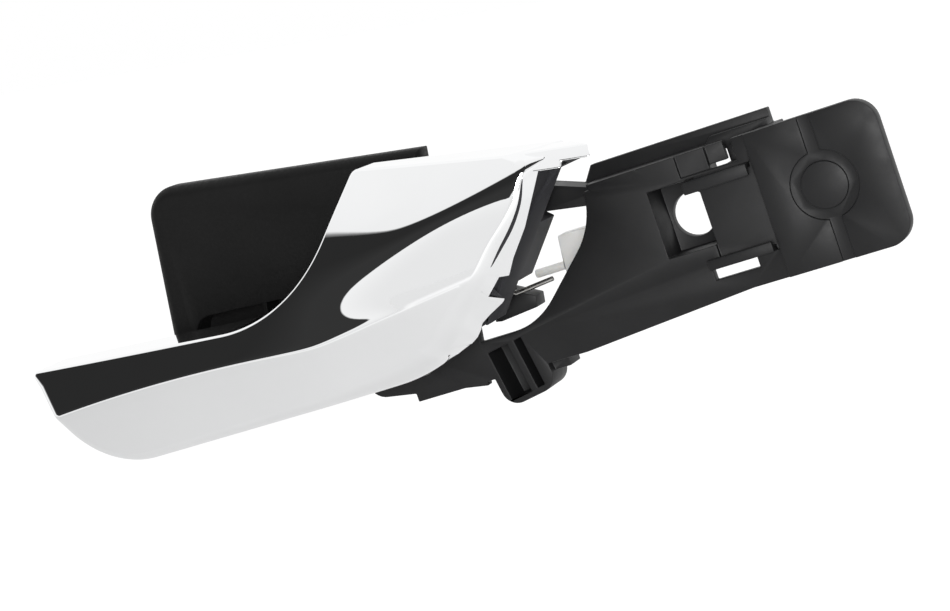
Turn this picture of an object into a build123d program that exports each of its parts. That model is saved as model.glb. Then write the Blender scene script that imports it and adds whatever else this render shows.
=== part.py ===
from build123d import *
from math import cos, exp, log, radians, sin, tan, tanh
import os

# Car interior door handle: a chromed pull lever hinged on a black moulded bracket,
# with a finger cup behind the grip.
# Millimetres. X runs along the cup's top edge towards the fixing end, Y goes into the door and Z is up.
# The origin is the middle of the fixing hole, on the seat that rests against the door.
# Heights are measured from that seat towards the hand, along -Y.

# Bracket: across is along the bracket, up is square to it, both from the fixing hole
BRACKET_TILT = 9.3
PLATE_HEIGHT = 12.0
PLATE_WALL = 2.5
BOX_WALL = 2.0
PLATE_TOP = 13.25
PLATE_FOOT = 17.5
FOOT_KINK = 10.0
BEAM_FOOT = 20.4
BEAM_TOP = 11.9
BEAM_LEFT = 70.0
BEAM_FOOT_START = 29.0
WINDOW_RIGHT = 18.4
WINDOW_BEND_LOW = 37.8
WINDOW_BEND_HIGH = 5.6
WINDOW_RADIUS = 17.0
CORNER_CUT = 1.2
BOX_RIGHT = 24.0
BOX_RIB = 1.8
BOX_RIB_PLACES = (-13.0, 13.0)
BOX_RIB_DROP = 3.0

# End plate with its ring
END_RIGHT = 45.8
END_LEFT = 18.2
END_RISE = 1.0
END_RADIUS = 5.2
RING_ACROSS = 31.3
RING_DROP = 1.5
RING_OUTER = 7.15
RING_INNER = 4.9
GROOVE_WIDTH = 2.6
GROOVE_DEPTH = 0.5

# Fixing pocket, hole, and the channel with its two rails
HOLE_RADIUS = 4.75
POCKET_SIDE = 5.3
POCKET_TOP = 7.8
POCKET_FOOT = 6.7
POCKET_FLOOR = 2.5
CHANNEL_SINK = 1.0
RAIL_RISE = 2.4
RAIL_LIP = 1.2
RAIL_STEM = 1.1
RAIL_LEFT = 3.0
RAIL_RIGHT = 17.3
UPPER_RAIL = (5.05, 7.6)
LOWER_RAIL = (-11.4, -9.2)
SLOT_ACROSS = (2.9, 12.8)
SLOT_WIDTH = 2.4

# Snap tab in the upper edge, and the back flange with its ledge
TAB_CUT = (9.0, 15.3)
TAB_CUT_FOOT = 8.5
TAB_END = 12.9
TAB_GAP = 0.8
TAB_SINK = 2.0
TAB_WALL = 1.6
PANEL_LEFT = 2.6
PANEL_SINK = 0.8
FLANGE_WALL = 2.5
FLANGE_RISE = 3.3
FLANGE_RIGHT = 22.0
FLANGE_POINT = 2.4
LEDGE_LEFT = 8.0
LEDGE_RISE = 1.4
LEDGE_DEPTH = 3.0
LEDGE_SLOT = 3.4

# Clip tower under the beam
TOWER_TILT = 18.4
TOWER_X = -43.3
TOWER_Z = -20.6
TOWER_LENGTH = 13.2
TOWER_HALF = 6.3
TOWER_WALL = 1.4
TOWER_RIB = 1.6
TOWER_BLOCK = 2.8
TOWER_SPLIT = 0.1
TOWER_DROP = 0.5
TOWER_FLOOR = 4.0
TOWER_CORNER = 3.6
LIP_REACH = 9.5
LIP_SHIFT = 5.5
LIP_DROP = 2.0

# Arm that carries the finger cup
ARM_LEFT = -77.0
ARM_RIGHT = -49.0
ARM_FOOT = -29.6
ARM_TOP = 15.0
ARM_RADIUS = 4.0

# Finger cup
CUP_LEFT = -127.4
CUP_RIGHT = -59.0
CUP_FOOT = -30.0
CUP_TOP = 22.3
CUP_RADIUS = 7.0
CUP_HEIGHT = 3.0
CUP_WALL = 2.0
CUP_RIM = 6.0
CUP_EDGE = 2.6
WELL_LEFT = -120.5
WELL_RIGHT = -69.0
WELL_FOOT = -27.0
WELL_TOP_LEFT = -8.2
WELL_TOP_RIGHT = -3.8
WELL_RADIUS = 4.0
WELL_DEPTH = 7.0
WELL_RIB_X = -102.6
WELL_RIB = 0.9
WELL_RIB_LENGTH = 2.6
BOSS_RADIUS = 3.2
BOSS_LEFT = 4.5
BOSS_RIGHT = 14.0
BOSS_TOP = 6.0
BOSS_FOOT = 6.6

# Hinge
HINGE_LEAN = 31.8
HINGE_X = -37.5
HINGE_Z = 3.15
HINGE_HEIGHT = 5.0
PIN_RADIUS = 1.5
PIN_FIT = 0.05
PIN_HEAD = 2.6
PIN_HEAD_LENGTH = 1.2
PIN_TAIL = 1.8
CLIP_RADIUS = 2.9
CLIP_LENGTH = 0.8
BARREL_RADIUS = 3.2
BARREL_LOW = -9.0
BARREL_HIGH = 5.0
LUG_GAP = 0.4
UPPER_LUG = 4.6
LOWER_LUG = 5.0
LUG_HALF = 3.5
COIL_ROOM = 5.6
STUB_RIGHT = -36.6
STUB_TOP = -12.2
STUB_FOOT = -14.7
STUB_FALL = 2.2
STUB_HEIGHT = 7.0

# Lever: heights of the chromed front, and its outline seen from the front
RIM_HEIGHT = 17.0
CREST_HEIGHT = 40.5
TIP_FALL = 3.0
COVER_WALL = 2.0
TIP_X = -148.4
TIP_Z = -11.4
WAIST_X = -79.8
WAIST_Z = -6.3
WAIST_RADIUS = 32.0
SHOULDER_X = -64.7
SHOULDER_Z = 22.1
SHOULDER_RADIUS = 2.2
RIDGE_FALL = 0.027
BELLY_X = -54.3
BELLY_Z = -22.6
BELLY_RADIUS = 34.0
CHIN_X = -131.8
CHIN_Z = -34.9
CHIN_RADIUS = 19.0
HEEL_SLOPE = 28.0
HEEL_RADIUS = 3.0
NOSE_RADIUS = 1.0
END_WALL = 6.0
EAR_LENGTH = 12.7
EAR_HEIGHT = 3.9
EAR_STEP = 6.4
EAR_TIP = 2.6
EAR_ROOT = 6.0
EAR_RADIUS = 1.4
EAR_DROP = 5.5
EAR_SINK = 1.8
EAR_SWEEP = 7.0

# Lever front: slopes of its faces, the soft fold that rises to the right, the crease and the facet along it
LEAF_SLOPE = 0.061
TOP_SLOPE = 0.667
LOWER_SLOPE = 0.2375
FOLD_X = -39.54
FOLD_Z = 11.84
FOLD_RISE = 0.3225
FOLD_SOFT = 1.05
FOLD_SPREAD = 0.00333
CREASE_X = -74.9
CREASE_Z = -12.78
CREASE_GRIP = 0.0334
CREASE_BODY = 0.2717
CREASE_SOFT = 2.2
CREASE_CURL = 0.00139
CREASE_ROUND = 1.2
FACET_SLOPE = 0.139
FACET_X = -54.3
FACET_GROWTH = 0.36
FACET_SOFT = 2.12
FACET_LEAST = 0.05
FRONT_STEP = 4.2
INSIDE_STEP = 8.0

# End wall of the chromed shell: its slope, its rear edge and the notch in it
END_SLOPE = 2.2
END_CUT_LOW = 26.0
END_CUT_HIGH = 35.0
END_CUT_FOOT = -24.0
END_CUT_RISE = 3.0
END_CUT_TOP = 25.0
NOTCH_LOW = -12.5
NOTCH_HIGH = -7.5
NOTCH_DEPTH = 8.0
NOTCH_FILL = 3.4
NOTCH_SINK = 0.8

# Carrier inside the lever
CARRIER_WALL = 2.5
CARRIER_SINK = 0.4
CARRIER_FIT = 0.2
ROOT_WALL = 2.5
ROOT_BACK = 14.0
ROOT_LOW = -17.0
ROOT_HIGH = 18.0
ROOT_SLOPE = 10.0
ROOT_TIP = 2.0
GUSSET = 2.0
GUSSET_REACH = 13.0
HOOK_ARM = 2.6
HOOK_ARM_REACH = 15.0
HOOK_SEAT_DROP = 1.2
HOOK_ARM_DEPTH = 4.6
HOOK_ARM_DROP = 3.0
POST_RADIUS = 3.0
COVER_POSTS = ((-118.0, -21.0), (-92.0, -17.5), (-56.0, 6.0))

# Cable hook
HOOK_STEM = 4.2
HOOK_STEM_DEPTH = 4.0
HOOK_LEFT = -33.2
HOOK_HEAD_TOP = 4.0
HOOK_HEAD_FOOT = -4.6
HOOK_HEAD_FRONT = 2.0
HOOK_SLOPE = 0.8
HOOK_BOSS = 0.8
HOOK_FIT = 0.1
PEG_DROP = 2.6
PEG_RADIUS = 0.95
PEG_LENGTH = 7.0

# Fasteners, buffer and spring
SCREW_RADIUS = 1.35
SCREW_FIT = 0.15
SCREW_HEAD = 2.7
SCREW_HEAD_LENGTH = 1.7
CUP_SCREW = 8.5
COVER_SCREW = 7.5
POST_BORE = 8.5
SCREW_BITE = 0.05
BUFFER_INSET = 13.0
BUFFER_Z = -10.0
BUFFER_RADIUS = 3.6
BUFFER_STEM = 1.8
BUFFER_FIT = 0.05
BUFFER_TAIL = 1.0
BUFFER_TAPER = 14.0
BUFFER_GAP = 0.3
WIRE_RADIUS = 0.55
WIRE_KNEE = 0.8
WIRE_SIDES = 6
COIL_RADIUS = 2.9
COIL_TURNS = 2.75
LEG_BEND = 5.0
LEG_REACH = 11.3
LEG_RISE = 6.5
LEG_BACK = 12.0

lean = radians(BRACKET_TILT)
front = Plane.XZ
bracket_plane = Plane((0, 0, 0), x_dir=(cos(lean), 0, sin(lean)), z_dir=(0, -1, 0))
tower_lean = radians(TOWER_TILT)
tower_plane = Plane((TOWER_X, 0, TOWER_Z), x_dir=(cos(tower_lean), 0, sin(tower_lean)), z_dir=(0, -1, 0))
hinge_lean = radians(HINGE_LEAN)
hinge_axis = Vector(sin(hinge_lean), 0, cos(hinge_lean))
hinge_side = Vector(cos(hinge_lean), 0, -sin(hinge_lean))
hinge_point = Vector(HINGE_X, -HINGE_HEIGHT, HINGE_Z)
hinge_plane = Plane(hinge_point, x_dir=hinge_side, z_dir=hinge_axis)
plate_back = PLATE_HEIGHT - PLATE_WALL
upper_lug_low = BARREL_HIGH + LUG_GAP
upper_lug_high = upper_lug_low + UPPER_LUG
lower_lug_high = BARREL_LOW - COIL_ROOM
lower_lug_low = lower_lug_high - LOWER_LUG
buffer_x = ARM_RIGHT - BUFFER_INSET
cup_bosses = (
    (ARM_LEFT + BOSS_LEFT, ARM_TOP - BOSS_TOP),
    (ARM_RIGHT - BOSS_RIGHT, ARM_TOP - BOSS_TOP),
    (ARM_RIGHT - BOSS_RIGHT, ARM_FOOT + BOSS_FOOT),
)


def slab(plane, shape, low, high):
    """Solid of a drawn shape between two heights above a plane."""
    return extrude(plane.offset(low) * shape, high - low)


def block(plane, across, up, low, high):
    """Box between two limits along each axis of a plane."""
    middle = Pos((across[0] + across[1]) / 2, (up[0] + up[1]) / 2)
    return slab(plane, middle * Rectangle(across[1] - across[0], up[1] - up[0]), low, high)


def outline(*corners):
    """Closed shape from corners given as across, up and corner radius."""
    points = [corner[:2] for corner in corners]
    return make_face(FilletPolyline(*points, radius=[corner[2] for corner in corners], close=True))


def along_hinge(across, depth, low, high):
    """Box in the hinge's frame: across the axis, along Y from the axis, and along the axis."""
    return block(hinge_plane, across, depth, low, high)


def beside_hinge(shape, low, high):
    """Solid between two distances to the hinge's side, of a shape along the axis and along Y from it."""
    side = Plane(hinge_point, x_dir=hinge_axis, z_dir=hinge_side)
    return slab(side, mirror(shape, about=Plane.XZ), low, high)


def hinge_disc(radius, low, high):
    """Cylinder about the hinge axis between two places along it."""
    return slab(hinge_plane, Circle(radius), low, high)


def on_hinge(place):
    """Point on the hinge axis, as seen from the front."""
    point = hinge_point + hinge_axis * place
    return point.X, point.Z


def face_plate():
    """Bracket plate with the lower beam and the curved edge of the window."""
    shape = outline(
        (END_RIGHT, PLATE_TOP, END_RADIUS),
        (END_RIGHT, -PLATE_FOOT, END_RADIUS),
        (FOOT_KINK, -PLATE_FOOT, 0),
        (-BEAM_FOOT_START, -BEAM_FOOT, 0),
        (-BEAM_LEFT, -BEAM_FOOT, 0),
        (-BEAM_LEFT, -BEAM_TOP, 0),
        (-WINDOW_BEND_LOW, -BEAM_TOP, WINDOW_RADIUS),
        (-WINDOW_RIGHT, WINDOW_BEND_HIGH, WINDOW_RADIUS),
        (-WINDOW_RIGHT, PLATE_TOP, 0),
    )
    corner_sides = (-WINDOW_RIGHT - CORNER_CUT, -WINDOW_RIGHT + CORNER_CUT)
    corner = (corner_sides, (PLATE_TOP - CORNER_CUT, PLATE_TOP))
    plate = slab(bracket_plane, shape, plate_back, PLATE_HEIGHT)
    return plate - block(bracket_plane, *corner, plate_back, PLATE_HEIGHT)


def cup_arm():
    """Plate behind the lever that carries the finger cup."""
    shape = outline(
        (ARM_LEFT, ARM_FOOT, ARM_RADIUS),
        (ARM_RIGHT, ARM_FOOT, 0),
        (ARM_RIGHT, ARM_TOP, ARM_RADIUS),
        (ARM_LEFT, ARM_TOP, ARM_RADIUS),
    )
    return slab(front, shape, plate_back, PLATE_HEIGHT)


def box_walls():
    """Walls behind the plate: top, foot, right end and cross ribs."""
    top = block(bracket_plane, (-WINDOW_RIGHT, BOX_RIGHT), (PLATE_TOP - BOX_WALL, PLATE_TOP), 0, plate_back)
    end = block(bracket_plane, (BOX_RIGHT - BOX_WALL, BOX_RIGHT), (-PLATE_FOOT, PLATE_TOP), 0, plate_back)
    foot_shape = outline(
        (BOX_RIGHT, -PLATE_FOOT, 0),
        (FOOT_KINK, -PLATE_FOOT, 0),
        (-BEAM_FOOT_START, -BEAM_FOOT, 0),
        (-BEAM_LEFT, -BEAM_FOOT, 0),
        (-BEAM_LEFT, -BEAM_FOOT + BOX_WALL, 0),
        (-BEAM_FOOT_START, -BEAM_FOOT + BOX_WALL, 0),
        (FOOT_KINK, -PLATE_FOOT + BOX_WALL, 0),
        (BOX_RIGHT, -PLATE_FOOT + BOX_WALL, 0),
    )
    walls = top + end + slab(bracket_plane, foot_shape, BOX_RIB_DROP, plate_back)
    inside = (-PLATE_FOOT + BOX_WALL, PLATE_TOP - BOX_WALL)
    for place in BOX_RIB_PLACES:
        sides = (place - BOX_RIB / 2, place + BOX_RIB / 2)
        walls += block(bracket_plane, sides, inside, BOX_RIB_DROP, plate_back)
    return walls


def end_plate():
    """Raised end of the bracket."""
    shape = outline(
        (END_RIGHT, PLATE_TOP, END_RADIUS),
        (END_RIGHT, -PLATE_FOOT, END_RADIUS),
        (END_LEFT, -PLATE_FOOT, 0),
        (END_LEFT, PLATE_TOP, 0),
    )
    return slab(bracket_plane, shape, plate_back, PLATE_HEIGHT + END_RISE)


def ring_groove():
    """Shallow ring and the straight band through it."""
    low = PLATE_HEIGHT + END_RISE - GROOVE_DEPTH
    high = PLATE_HEIGHT + END_RISE
    centre = Pos(RING_ACROSS, -RING_DROP)
    sides = (RING_ACROSS - GROOVE_WIDTH / 2, RING_ACROSS + GROOVE_WIDTH / 2)
    band = block(bracket_plane, sides, (-PLATE_FOOT, PLATE_TOP), low, high)
    ring = slab(bracket_plane, centre * Circle(RING_OUTER), low, high)
    return band + ring - slab(bracket_plane, centre * Circle(RING_INNER), low, high)


def flange():
    """Flange along the back of the top wall, with a ledge at its right end."""
    shape = outline(
        (FLANGE_RIGHT, PLATE_TOP - BOX_WALL, 0),
        (FLANGE_RIGHT, PLATE_TOP + FLANGE_RISE, 0),
        (-WINDOW_RIGHT, PLATE_TOP + FLANGE_RISE, 0),
        (-WINDOW_RIGHT - FLANGE_POINT, PLATE_TOP, 0),
        (-WINDOW_RIGHT, PLATE_TOP - BOX_WALL, 0),
    )
    ledge_shape = outline(
        (FLANGE_RIGHT, PLATE_TOP - BOX_WALL, 0),
        (FLANGE_RIGHT, PLATE_TOP + LEDGE_RISE, 0),
        (LEDGE_LEFT + LEDGE_RISE, PLATE_TOP + LEDGE_RISE, 0),
        (LEDGE_LEFT, PLATE_TOP, 0),
        (LEDGE_LEFT, PLATE_TOP - BOX_WALL, 0),
    )
    ledge = slab(bracket_plane, ledge_shape, FLANGE_WALL, FLANGE_WALL + LEDGE_DEPTH)
    return slab(bracket_plane, shape, 0, FLANGE_WALL) + ledge


def rail(limits, stem_side):
    """Channel rail: a stem on the channel floor with a lip that overhangs the channel."""
    low, high = limits
    floor = PLATE_HEIGHT - CHANNEL_SINK
    crown = PLATE_HEIGHT + RAIL_RISE
    stem = (high - RAIL_STEM, high) if stem_side > 0 else (low, low + RAIL_STEM)
    body = block(bracket_plane, (RAIL_LEFT, RAIL_RIGHT), stem, floor, crown)
    return body + block(bracket_plane, (RAIL_LEFT, RAIL_RIGHT), limits, crown - RAIL_LIP, crown)


def clip_tower():
    """Ribbed tower that stands below the beam."""
    shape = outline(
        (-TOWER_HALF, 0, 0),
        (TOWER_HALF, 0, 0),
        (TOWER_HALF, -TOWER_LENGTH, TOWER_CORNER),
        (-TOWER_HALF, -TOWER_LENGTH, TOWER_CORNER),
    )
    return slab(tower_plane, shape, TOWER_FLOOR - BOX_WALL, PLATE_HEIGHT)


def tower_pockets():
    """Two deep pockets of the tower, with a rib between them."""
    first = (-TOWER_HALF + TOWER_WALL, TOWER_SPLIT)
    second = (TOWER_SPLIT + TOWER_RIB, TOWER_HALF - TOWER_BLOCK)
    depth = (-TOWER_LENGTH + TOWER_WALL, -TOWER_DROP)
    pockets = block(tower_plane, first, depth, TOWER_FLOOR, PLATE_HEIGHT)
    return pockets + block(tower_plane, second, depth, TOWER_FLOOR, PLATE_HEIGHT)


def foot_lip():
    """Lip on the beam's foot, right of the tower."""
    end = -BEAM_FOOT_START - LIP_SHIFT
    across = (end - LIP_REACH, end)
    return block(bracket_plane, across, (-BEAM_FOOT - LIP_DROP, -BEAM_FOOT), BOX_RIB_DROP, plate_back)


def hinge_lugs():
    """Two bored lugs that hold the pin, with the arms that join them to the plate and the cup arm."""
    low, high = HINGE_HEIGHT - LUG_HALF, HINGE_HEIGHT + LUG_HALF
    upper = hinge_disc(LUG_HALF, upper_lug_low, upper_lug_high)
    lower = hinge_disc(LUG_HALF, lower_lug_low, lower_lug_high)
    top_x, top_z = on_hinge(upper_lug_high)
    near_x, near_z = on_hinge(upper_lug_low)
    corner = (bracket_plane * Pos(-WINDOW_RIGHT, PLATE_TOP)).position
    upper_arm = outline(
        (top_x, top_z, 0),
        (corner.X + BOX_WALL, corner.Z - BOX_WALL / 2, 0),
        (corner.X + BOX_WALL, corner.Z - UPPER_LUG, 0),
        (near_x + LUG_HALF, near_z - LUG_HALF * tan(hinge_lean), 0),
        (near_x, near_z, 0),
    )
    head_x, head_z = on_hinge(lower_lug_high)
    wall = (ARM_RIGHT - BOX_WALL, ARM_RIGHT)
    stub = outline(
        (head_x, head_z, 0),
        (STUB_RIGHT, STUB_TOP, 0),
        (STUB_RIGHT, STUB_FOOT, 0),
        (head_x, STUB_FOOT - STUB_FALL, 0),
        (wall[0], STUB_FOOT - STUB_FALL, 0),
        (wall[0], head_z, 0),
    )
    arm = slab(front, stub, low, STUB_HEIGHT)
    arm -= hinge_disc(COIL_RADIUS + WIRE_RADIUS + LUG_GAP, lower_lug_high, BARREL_LOW)
    arm += block(front, wall, (STUB_FOOT - STUB_FALL, head_z), low, plate_back)
    lugs = upper + slab(front, upper_arm, low, high) + lower + arm
    room = 2 * BARREL_RADIUS
    lugs -= hinge_disc(PIN_HEAD + LUG_GAP, upper_lug_high, upper_lug_high + room)
    lugs -= hinge_disc(CLIP_RADIUS + LUG_GAP, lower_lug_low - room, lower_lug_low)
    return lugs - hinge_disc(PIN_RADIUS + PIN_FIT, lower_lug_low, upper_lug_high)


def make_bracket():
    """Moulded bracket in one piece."""
    pocket = ((-POCKET_SIDE, POCKET_SIDE), (-POCKET_FOOT, POCKET_TOP))
    pocket_outer = tuple((low - BOX_WALL, high + BOX_WALL) for low, high in pocket)
    channel = ((POCKET_SIDE, END_LEFT), (LOWER_RAIL[0], UPPER_RAIL[1]))
    panel = ((PANEL_LEFT, TAB_CUT[0]), (TAB_CUT_FOOT, PLATE_TOP))
    deck = PLATE_HEIGHT - PANEL_SINK
    body = face_plate() + cup_arm() + end_plate() + box_walls() + flange() + clip_tower() + foot_lip()
    body += block(bracket_plane, *pocket_outer, 0, plate_back)
    body -= block(bracket_plane, *pocket, POCKET_FLOOR, PLATE_HEIGHT)
    body -= slab(bracket_plane, Circle(HOLE_RADIUS), 0, POCKET_FLOOR)
    body -= block(bracket_plane, *channel, PLATE_HEIGHT - CHANNEL_SINK, PLATE_HEIGHT)
    body -= ring_groove()
    body -= tower_pockets()
    slot_foot = LOWER_RAIL[0] - SLOT_WIDTH
    body -= block(bracket_plane, SLOT_ACROSS, (slot_foot, LOWER_RAIL[0]), BOX_RIB_DROP, PLATE_HEIGHT)
    slot_low = FLANGE_WALL + LEDGE_DEPTH
    body -= block(bracket_plane, TAB_CUT, (TAB_CUT_FOOT, PLATE_TOP), slot_low, PLATE_HEIGHT)
    body -= block(bracket_plane, *panel, deck, PLATE_HEIGHT)
    ledge_slot = ((LEDGE_LEFT, FLANGE_RIGHT - BOX_WALL), (PLATE_TOP - BOX_WALL, PLATE_TOP))
    body -= block(bracket_plane, *ledge_slot, slot_low, slot_low + LEDGE_SLOT)
    tab_high = PLATE_HEIGHT - TAB_SINK
    tab = ((TAB_CUT[0], TAB_END), (TAB_CUT_FOOT + TAB_GAP, PLATE_TOP))
    body += block(bracket_plane, *tab, tab_high - TAB_WALL, tab_high)
    body += rail(UPPER_RAIL, 1) + rail(LOWER_RAIL, -1) + hinge_lugs()
    for x, z in cup_bosses:
        body -= slab(front, Pos(x, z) * Circle(SCREW_RADIUS + SCREW_FIT), plate_back, PLATE_HEIGHT)
    buffer_hole = Pos(buffer_x, BUFFER_Z) * Circle(BUFFER_STEM + BUFFER_FIT)
    body -= slab(front, buffer_hole, plate_back, PLATE_HEIGHT)
    return body


def make_finger_cup():
    """Grained dish with rolled edges, a finger well and screw bosses."""
    shape = outline(
        (CUP_LEFT, CUP_FOOT, CUP_RADIUS),
        (CUP_RIGHT, CUP_FOOT, CUP_RADIUS / 2),
        (CUP_RIGHT, CUP_TOP, 0),
        (CUP_LEFT, CUP_TOP, CUP_RADIUS),
    )
    well = outline(
        (WELL_LEFT, WELL_FOOT, WELL_RADIUS),
        (WELL_RIGHT, WELL_FOOT, WELL_RADIUS),
        (WELL_RIGHT, WELL_TOP_RIGHT, WELL_RADIUS),
        (WELL_LEFT, WELL_TOP_LEFT, WELL_RADIUS),
    )
    back = CUP_HEIGHT - CUP_RIM
    cup = slab(front, shape, back, CUP_HEIGHT)
    cup = fillet(cup.faces().sort_by(Axis.Y)[0].edges(), CUP_EDGE)
    cup -= slab(front, offset(shape, -CUP_WALL), back, CUP_HEIGHT - CUP_WALL)
    floor = CUP_HEIGHT - WELL_DEPTH
    cup += slab(front, offset(well, CUP_WALL), floor - CUP_WALL, CUP_HEIGHT - CUP_WALL)
    cup -= slab(front, well, floor, CUP_HEIGHT)
    along = (WELL_RIB_X - WELL_LEFT) / (WELL_RIGHT - WELL_LEFT)
    rib_top = WELL_TOP_LEFT + (WELL_TOP_RIGHT - WELL_TOP_LEFT) * along
    rib_sides = (WELL_RIB_X - WELL_RIB / 2, WELL_RIB_X + WELL_RIB / 2)
    rib_ends = (rib_top - WELL_RIB_LENGTH, rib_top + WELL_RIB)
    cup += block(front, rib_sides, rib_ends, floor, CUP_HEIGHT - WELL_RIB / 2)
    for x, z in cup_bosses:
        cup += slab(front, Pos(x, z) * Circle(BOSS_RADIUS), CUP_HEIGHT - CUP_WALL, plate_back)
        cup -= slab(front, Pos(x, z) * Circle(SCREW_RADIUS + SCREW_BITE), CUP_HEIGHT - CUP_WALL, plate_back)
    return cup


def screw(plane, high, length):
    """Flat headed screw whose head stands on a height of a plane."""
    head = slab(plane, Circle(SCREW_HEAD), high, high + SCREW_HEAD_LENGTH)
    return head + slab(plane, Circle(SCREW_RADIUS), high - length, high)


def make_cup_screws():
    """Screws through the cup arm into the cup's bosses."""
    spots = [Plane((x, 0, z), x_dir=(1, 0, 0), z_dir=(0, -1, 0)) for x, z in cup_bosses]
    return Compound(children=[screw(spot, PLATE_HEIGHT, CUP_SCREW) for spot in spots])


def make_rest_buffer():
    """Rubber buffer, tapered towards the lever, with a stem in the cup arm."""
    spot = Pos(buffer_x, BUFFER_Z)
    top = RIM_HEIGHT + CARRIER_SINK - BUFFER_GAP
    foot = front.offset(PLATE_HEIGHT) * spot * Circle(BUFFER_RADIUS)
    pad = extrude(foot, top - PLATE_HEIGHT, taper=BUFFER_TAPER)
    return pad + slab(front, spot * Circle(BUFFER_STEM), plate_back - BUFFER_TAIL, PLATE_HEIGHT)


def crease(x):
    """Height in the front view of the crease between the lever's upper and lower faces."""
    bend = CREASE_SOFT * log(1 + exp((x - CREASE_X) / CREASE_SOFT))
    curl = CREASE_CURL * min(0.0, x - CREASE_X) ** 2
    return CREASE_Z + CREASE_GRIP * (x - CREASE_X) + (CREASE_BODY - CREASE_GRIP) * bend - curl


def crest(x):
    """Height of the crease above the seat, falling a little towards the tip."""
    reach = min(0.0, x - BELLY_X) / (TIP_X - BELLY_X)
    return CREST_HEIGHT - TIP_FALL * reach * reach


def fold(x, z):
    """Fall of the upper face, which turns softly from the leaf's slope to the top's slope."""
    soft = FOLD_SOFT + FOLD_SPREAD * (x - FOLD_X) ** 2
    line = FOLD_Z + FOLD_RISE * (x - FOLD_X)
    return LEAF_SLOPE * z + (TOP_SLOPE - LEAF_SLOPE) * soft * log(1 + exp((z - line) / soft))


def facet(x, rise):
    """Extra fall beside the crease, which widens along the grip."""
    wide = FACET_LEAST + FACET_GROWTH * FACET_SOFT * log(1 + exp((FACET_X - x) / FACET_SOFT))
    return FACET_SLOPE * wide * tanh(rise / wide)


def upper_front(x, z):
    return crest(x) - fold(x, z) + fold(x, crease(x)) - facet(x, z - crease(x))


def lower_front(x, z):
    return crest(x) - LOWER_SLOPE * (crease(x) - z)


def front_height(x, z):
    """Height of the lever's front, the lower of its two faces with the crease between them rounded."""
    upper, lower = upper_front(x, z), lower_front(x, z)
    apart = abs(upper - lower) / CREASE_ROUND
    return min(upper, lower) - CREASE_ROUND * log(1 + exp(-apart))


def front_block(depth, step):
    """Solid behind the lever's front, set back by a depth, through points a step apart."""
    columns = int((0 - TIP_X) / step) + 3
    rows = int((SHOULDER_Z - CHIN_Z) / step) + 4
    grid = []
    for column in range(columns):
        x = TIP_X + step * (column - 1)
        levels = [CHIN_Z + step * (row - 1) for row in range(rows)]
        grid.append([(x, depth - front_height(x, z), z) for z in levels])
    skin = Face.make_surface_from_array_of_points(grid)
    return extrude(skin, CREST_HEIGHT, dir=(0, 1, 0))


def end_wedge(depth):
    """Space in front of the sloped end wall, set back by a depth."""
    near = END_WALL - depth
    shape = outline(
        (near, HINGE_HEIGHT - END_CUT_LOW, 0),
        (near - END_SLOPE, HINGE_HEIGHT - CREST_HEIGHT, 0),
        (END_WALL + COVER_WALL, HINGE_HEIGHT - CREST_HEIGHT, 0),
        (END_WALL + COVER_WALL, HINGE_HEIGHT - END_CUT_LOW, 0),
    )
    return slab(hinge_plane, shape, END_CUT_FOOT, END_CUT_TOP)


def end_line(z):
    """Front view of the lever's right end, parallel to the hinge axis."""
    point = hinge_point + hinge_side * END_WALL
    return point.X + (z - point.Z) * tan(hinge_lean)


def lever_outline():
    """Front view of the lever without its ear."""
    ridge_z = SHOULDER_Z - RIDGE_FALL * (end_line(SHOULDER_Z) - SHOULDER_X)
    slope = tan(radians(HEEL_SLOPE))
    heel_z = (BELLY_Z + slope * (end_line(0) - BELLY_X)) / (1 - slope * tan(hinge_lean))
    return outline(
        (TIP_X, TIP_Z, NOSE_RADIUS),
        (WAIST_X, WAIST_Z, WAIST_RADIUS),
        (SHOULDER_X, SHOULDER_Z, SHOULDER_RADIUS),
        (end_line(ridge_z), ridge_z, NOSE_RADIUS),
        (end_line(heel_z), heel_z, HEEL_RADIUS),
        (BELLY_X, BELLY_Z, BELLY_RADIUS),
        (CHIN_X, CHIN_Z, CHIN_RADIUS),
    )


def ear():
    """Tab that carries the ridge on over the hinge."""
    ridge_z = SHOULDER_Z - RIDGE_FALL * (end_line(SHOULDER_Z) - SHOULDER_X)
    left = end_line(ridge_z - EAR_HEIGHT)
    shape = outline(
        (left - EAR_ROOT, ridge_z, 0),
        (left - EAR_ROOT, ridge_z - EAR_HEIGHT, 0),
        (left + EAR_STEP, ridge_z - EAR_HEIGHT, 0),
        (left + EAR_STEP, ridge_z - EAR_TIP, 0),
        (left + EAR_LENGTH, ridge_z - EAR_TIP, 0),
        (left + EAR_LENGTH, ridge_z, EAR_RADIUS),
    )
    low = RIM_HEIGHT + EAR_DROP
    high = upper_front(left, ridge_z) - EAR_SINK
    plan = outline(
        (left - EAR_ROOT, -high, 0),
        (left + EAR_LENGTH, -high, 0),
        (left + EAR_LENGTH, -low, EAR_SWEEP),
        (left - EAR_ROOT, -low, 0),
    )
    return slab(front, shape, low, high) & slab(Plane.XY, plan, ridge_z - EAR_HEIGHT, ridge_z)


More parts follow.
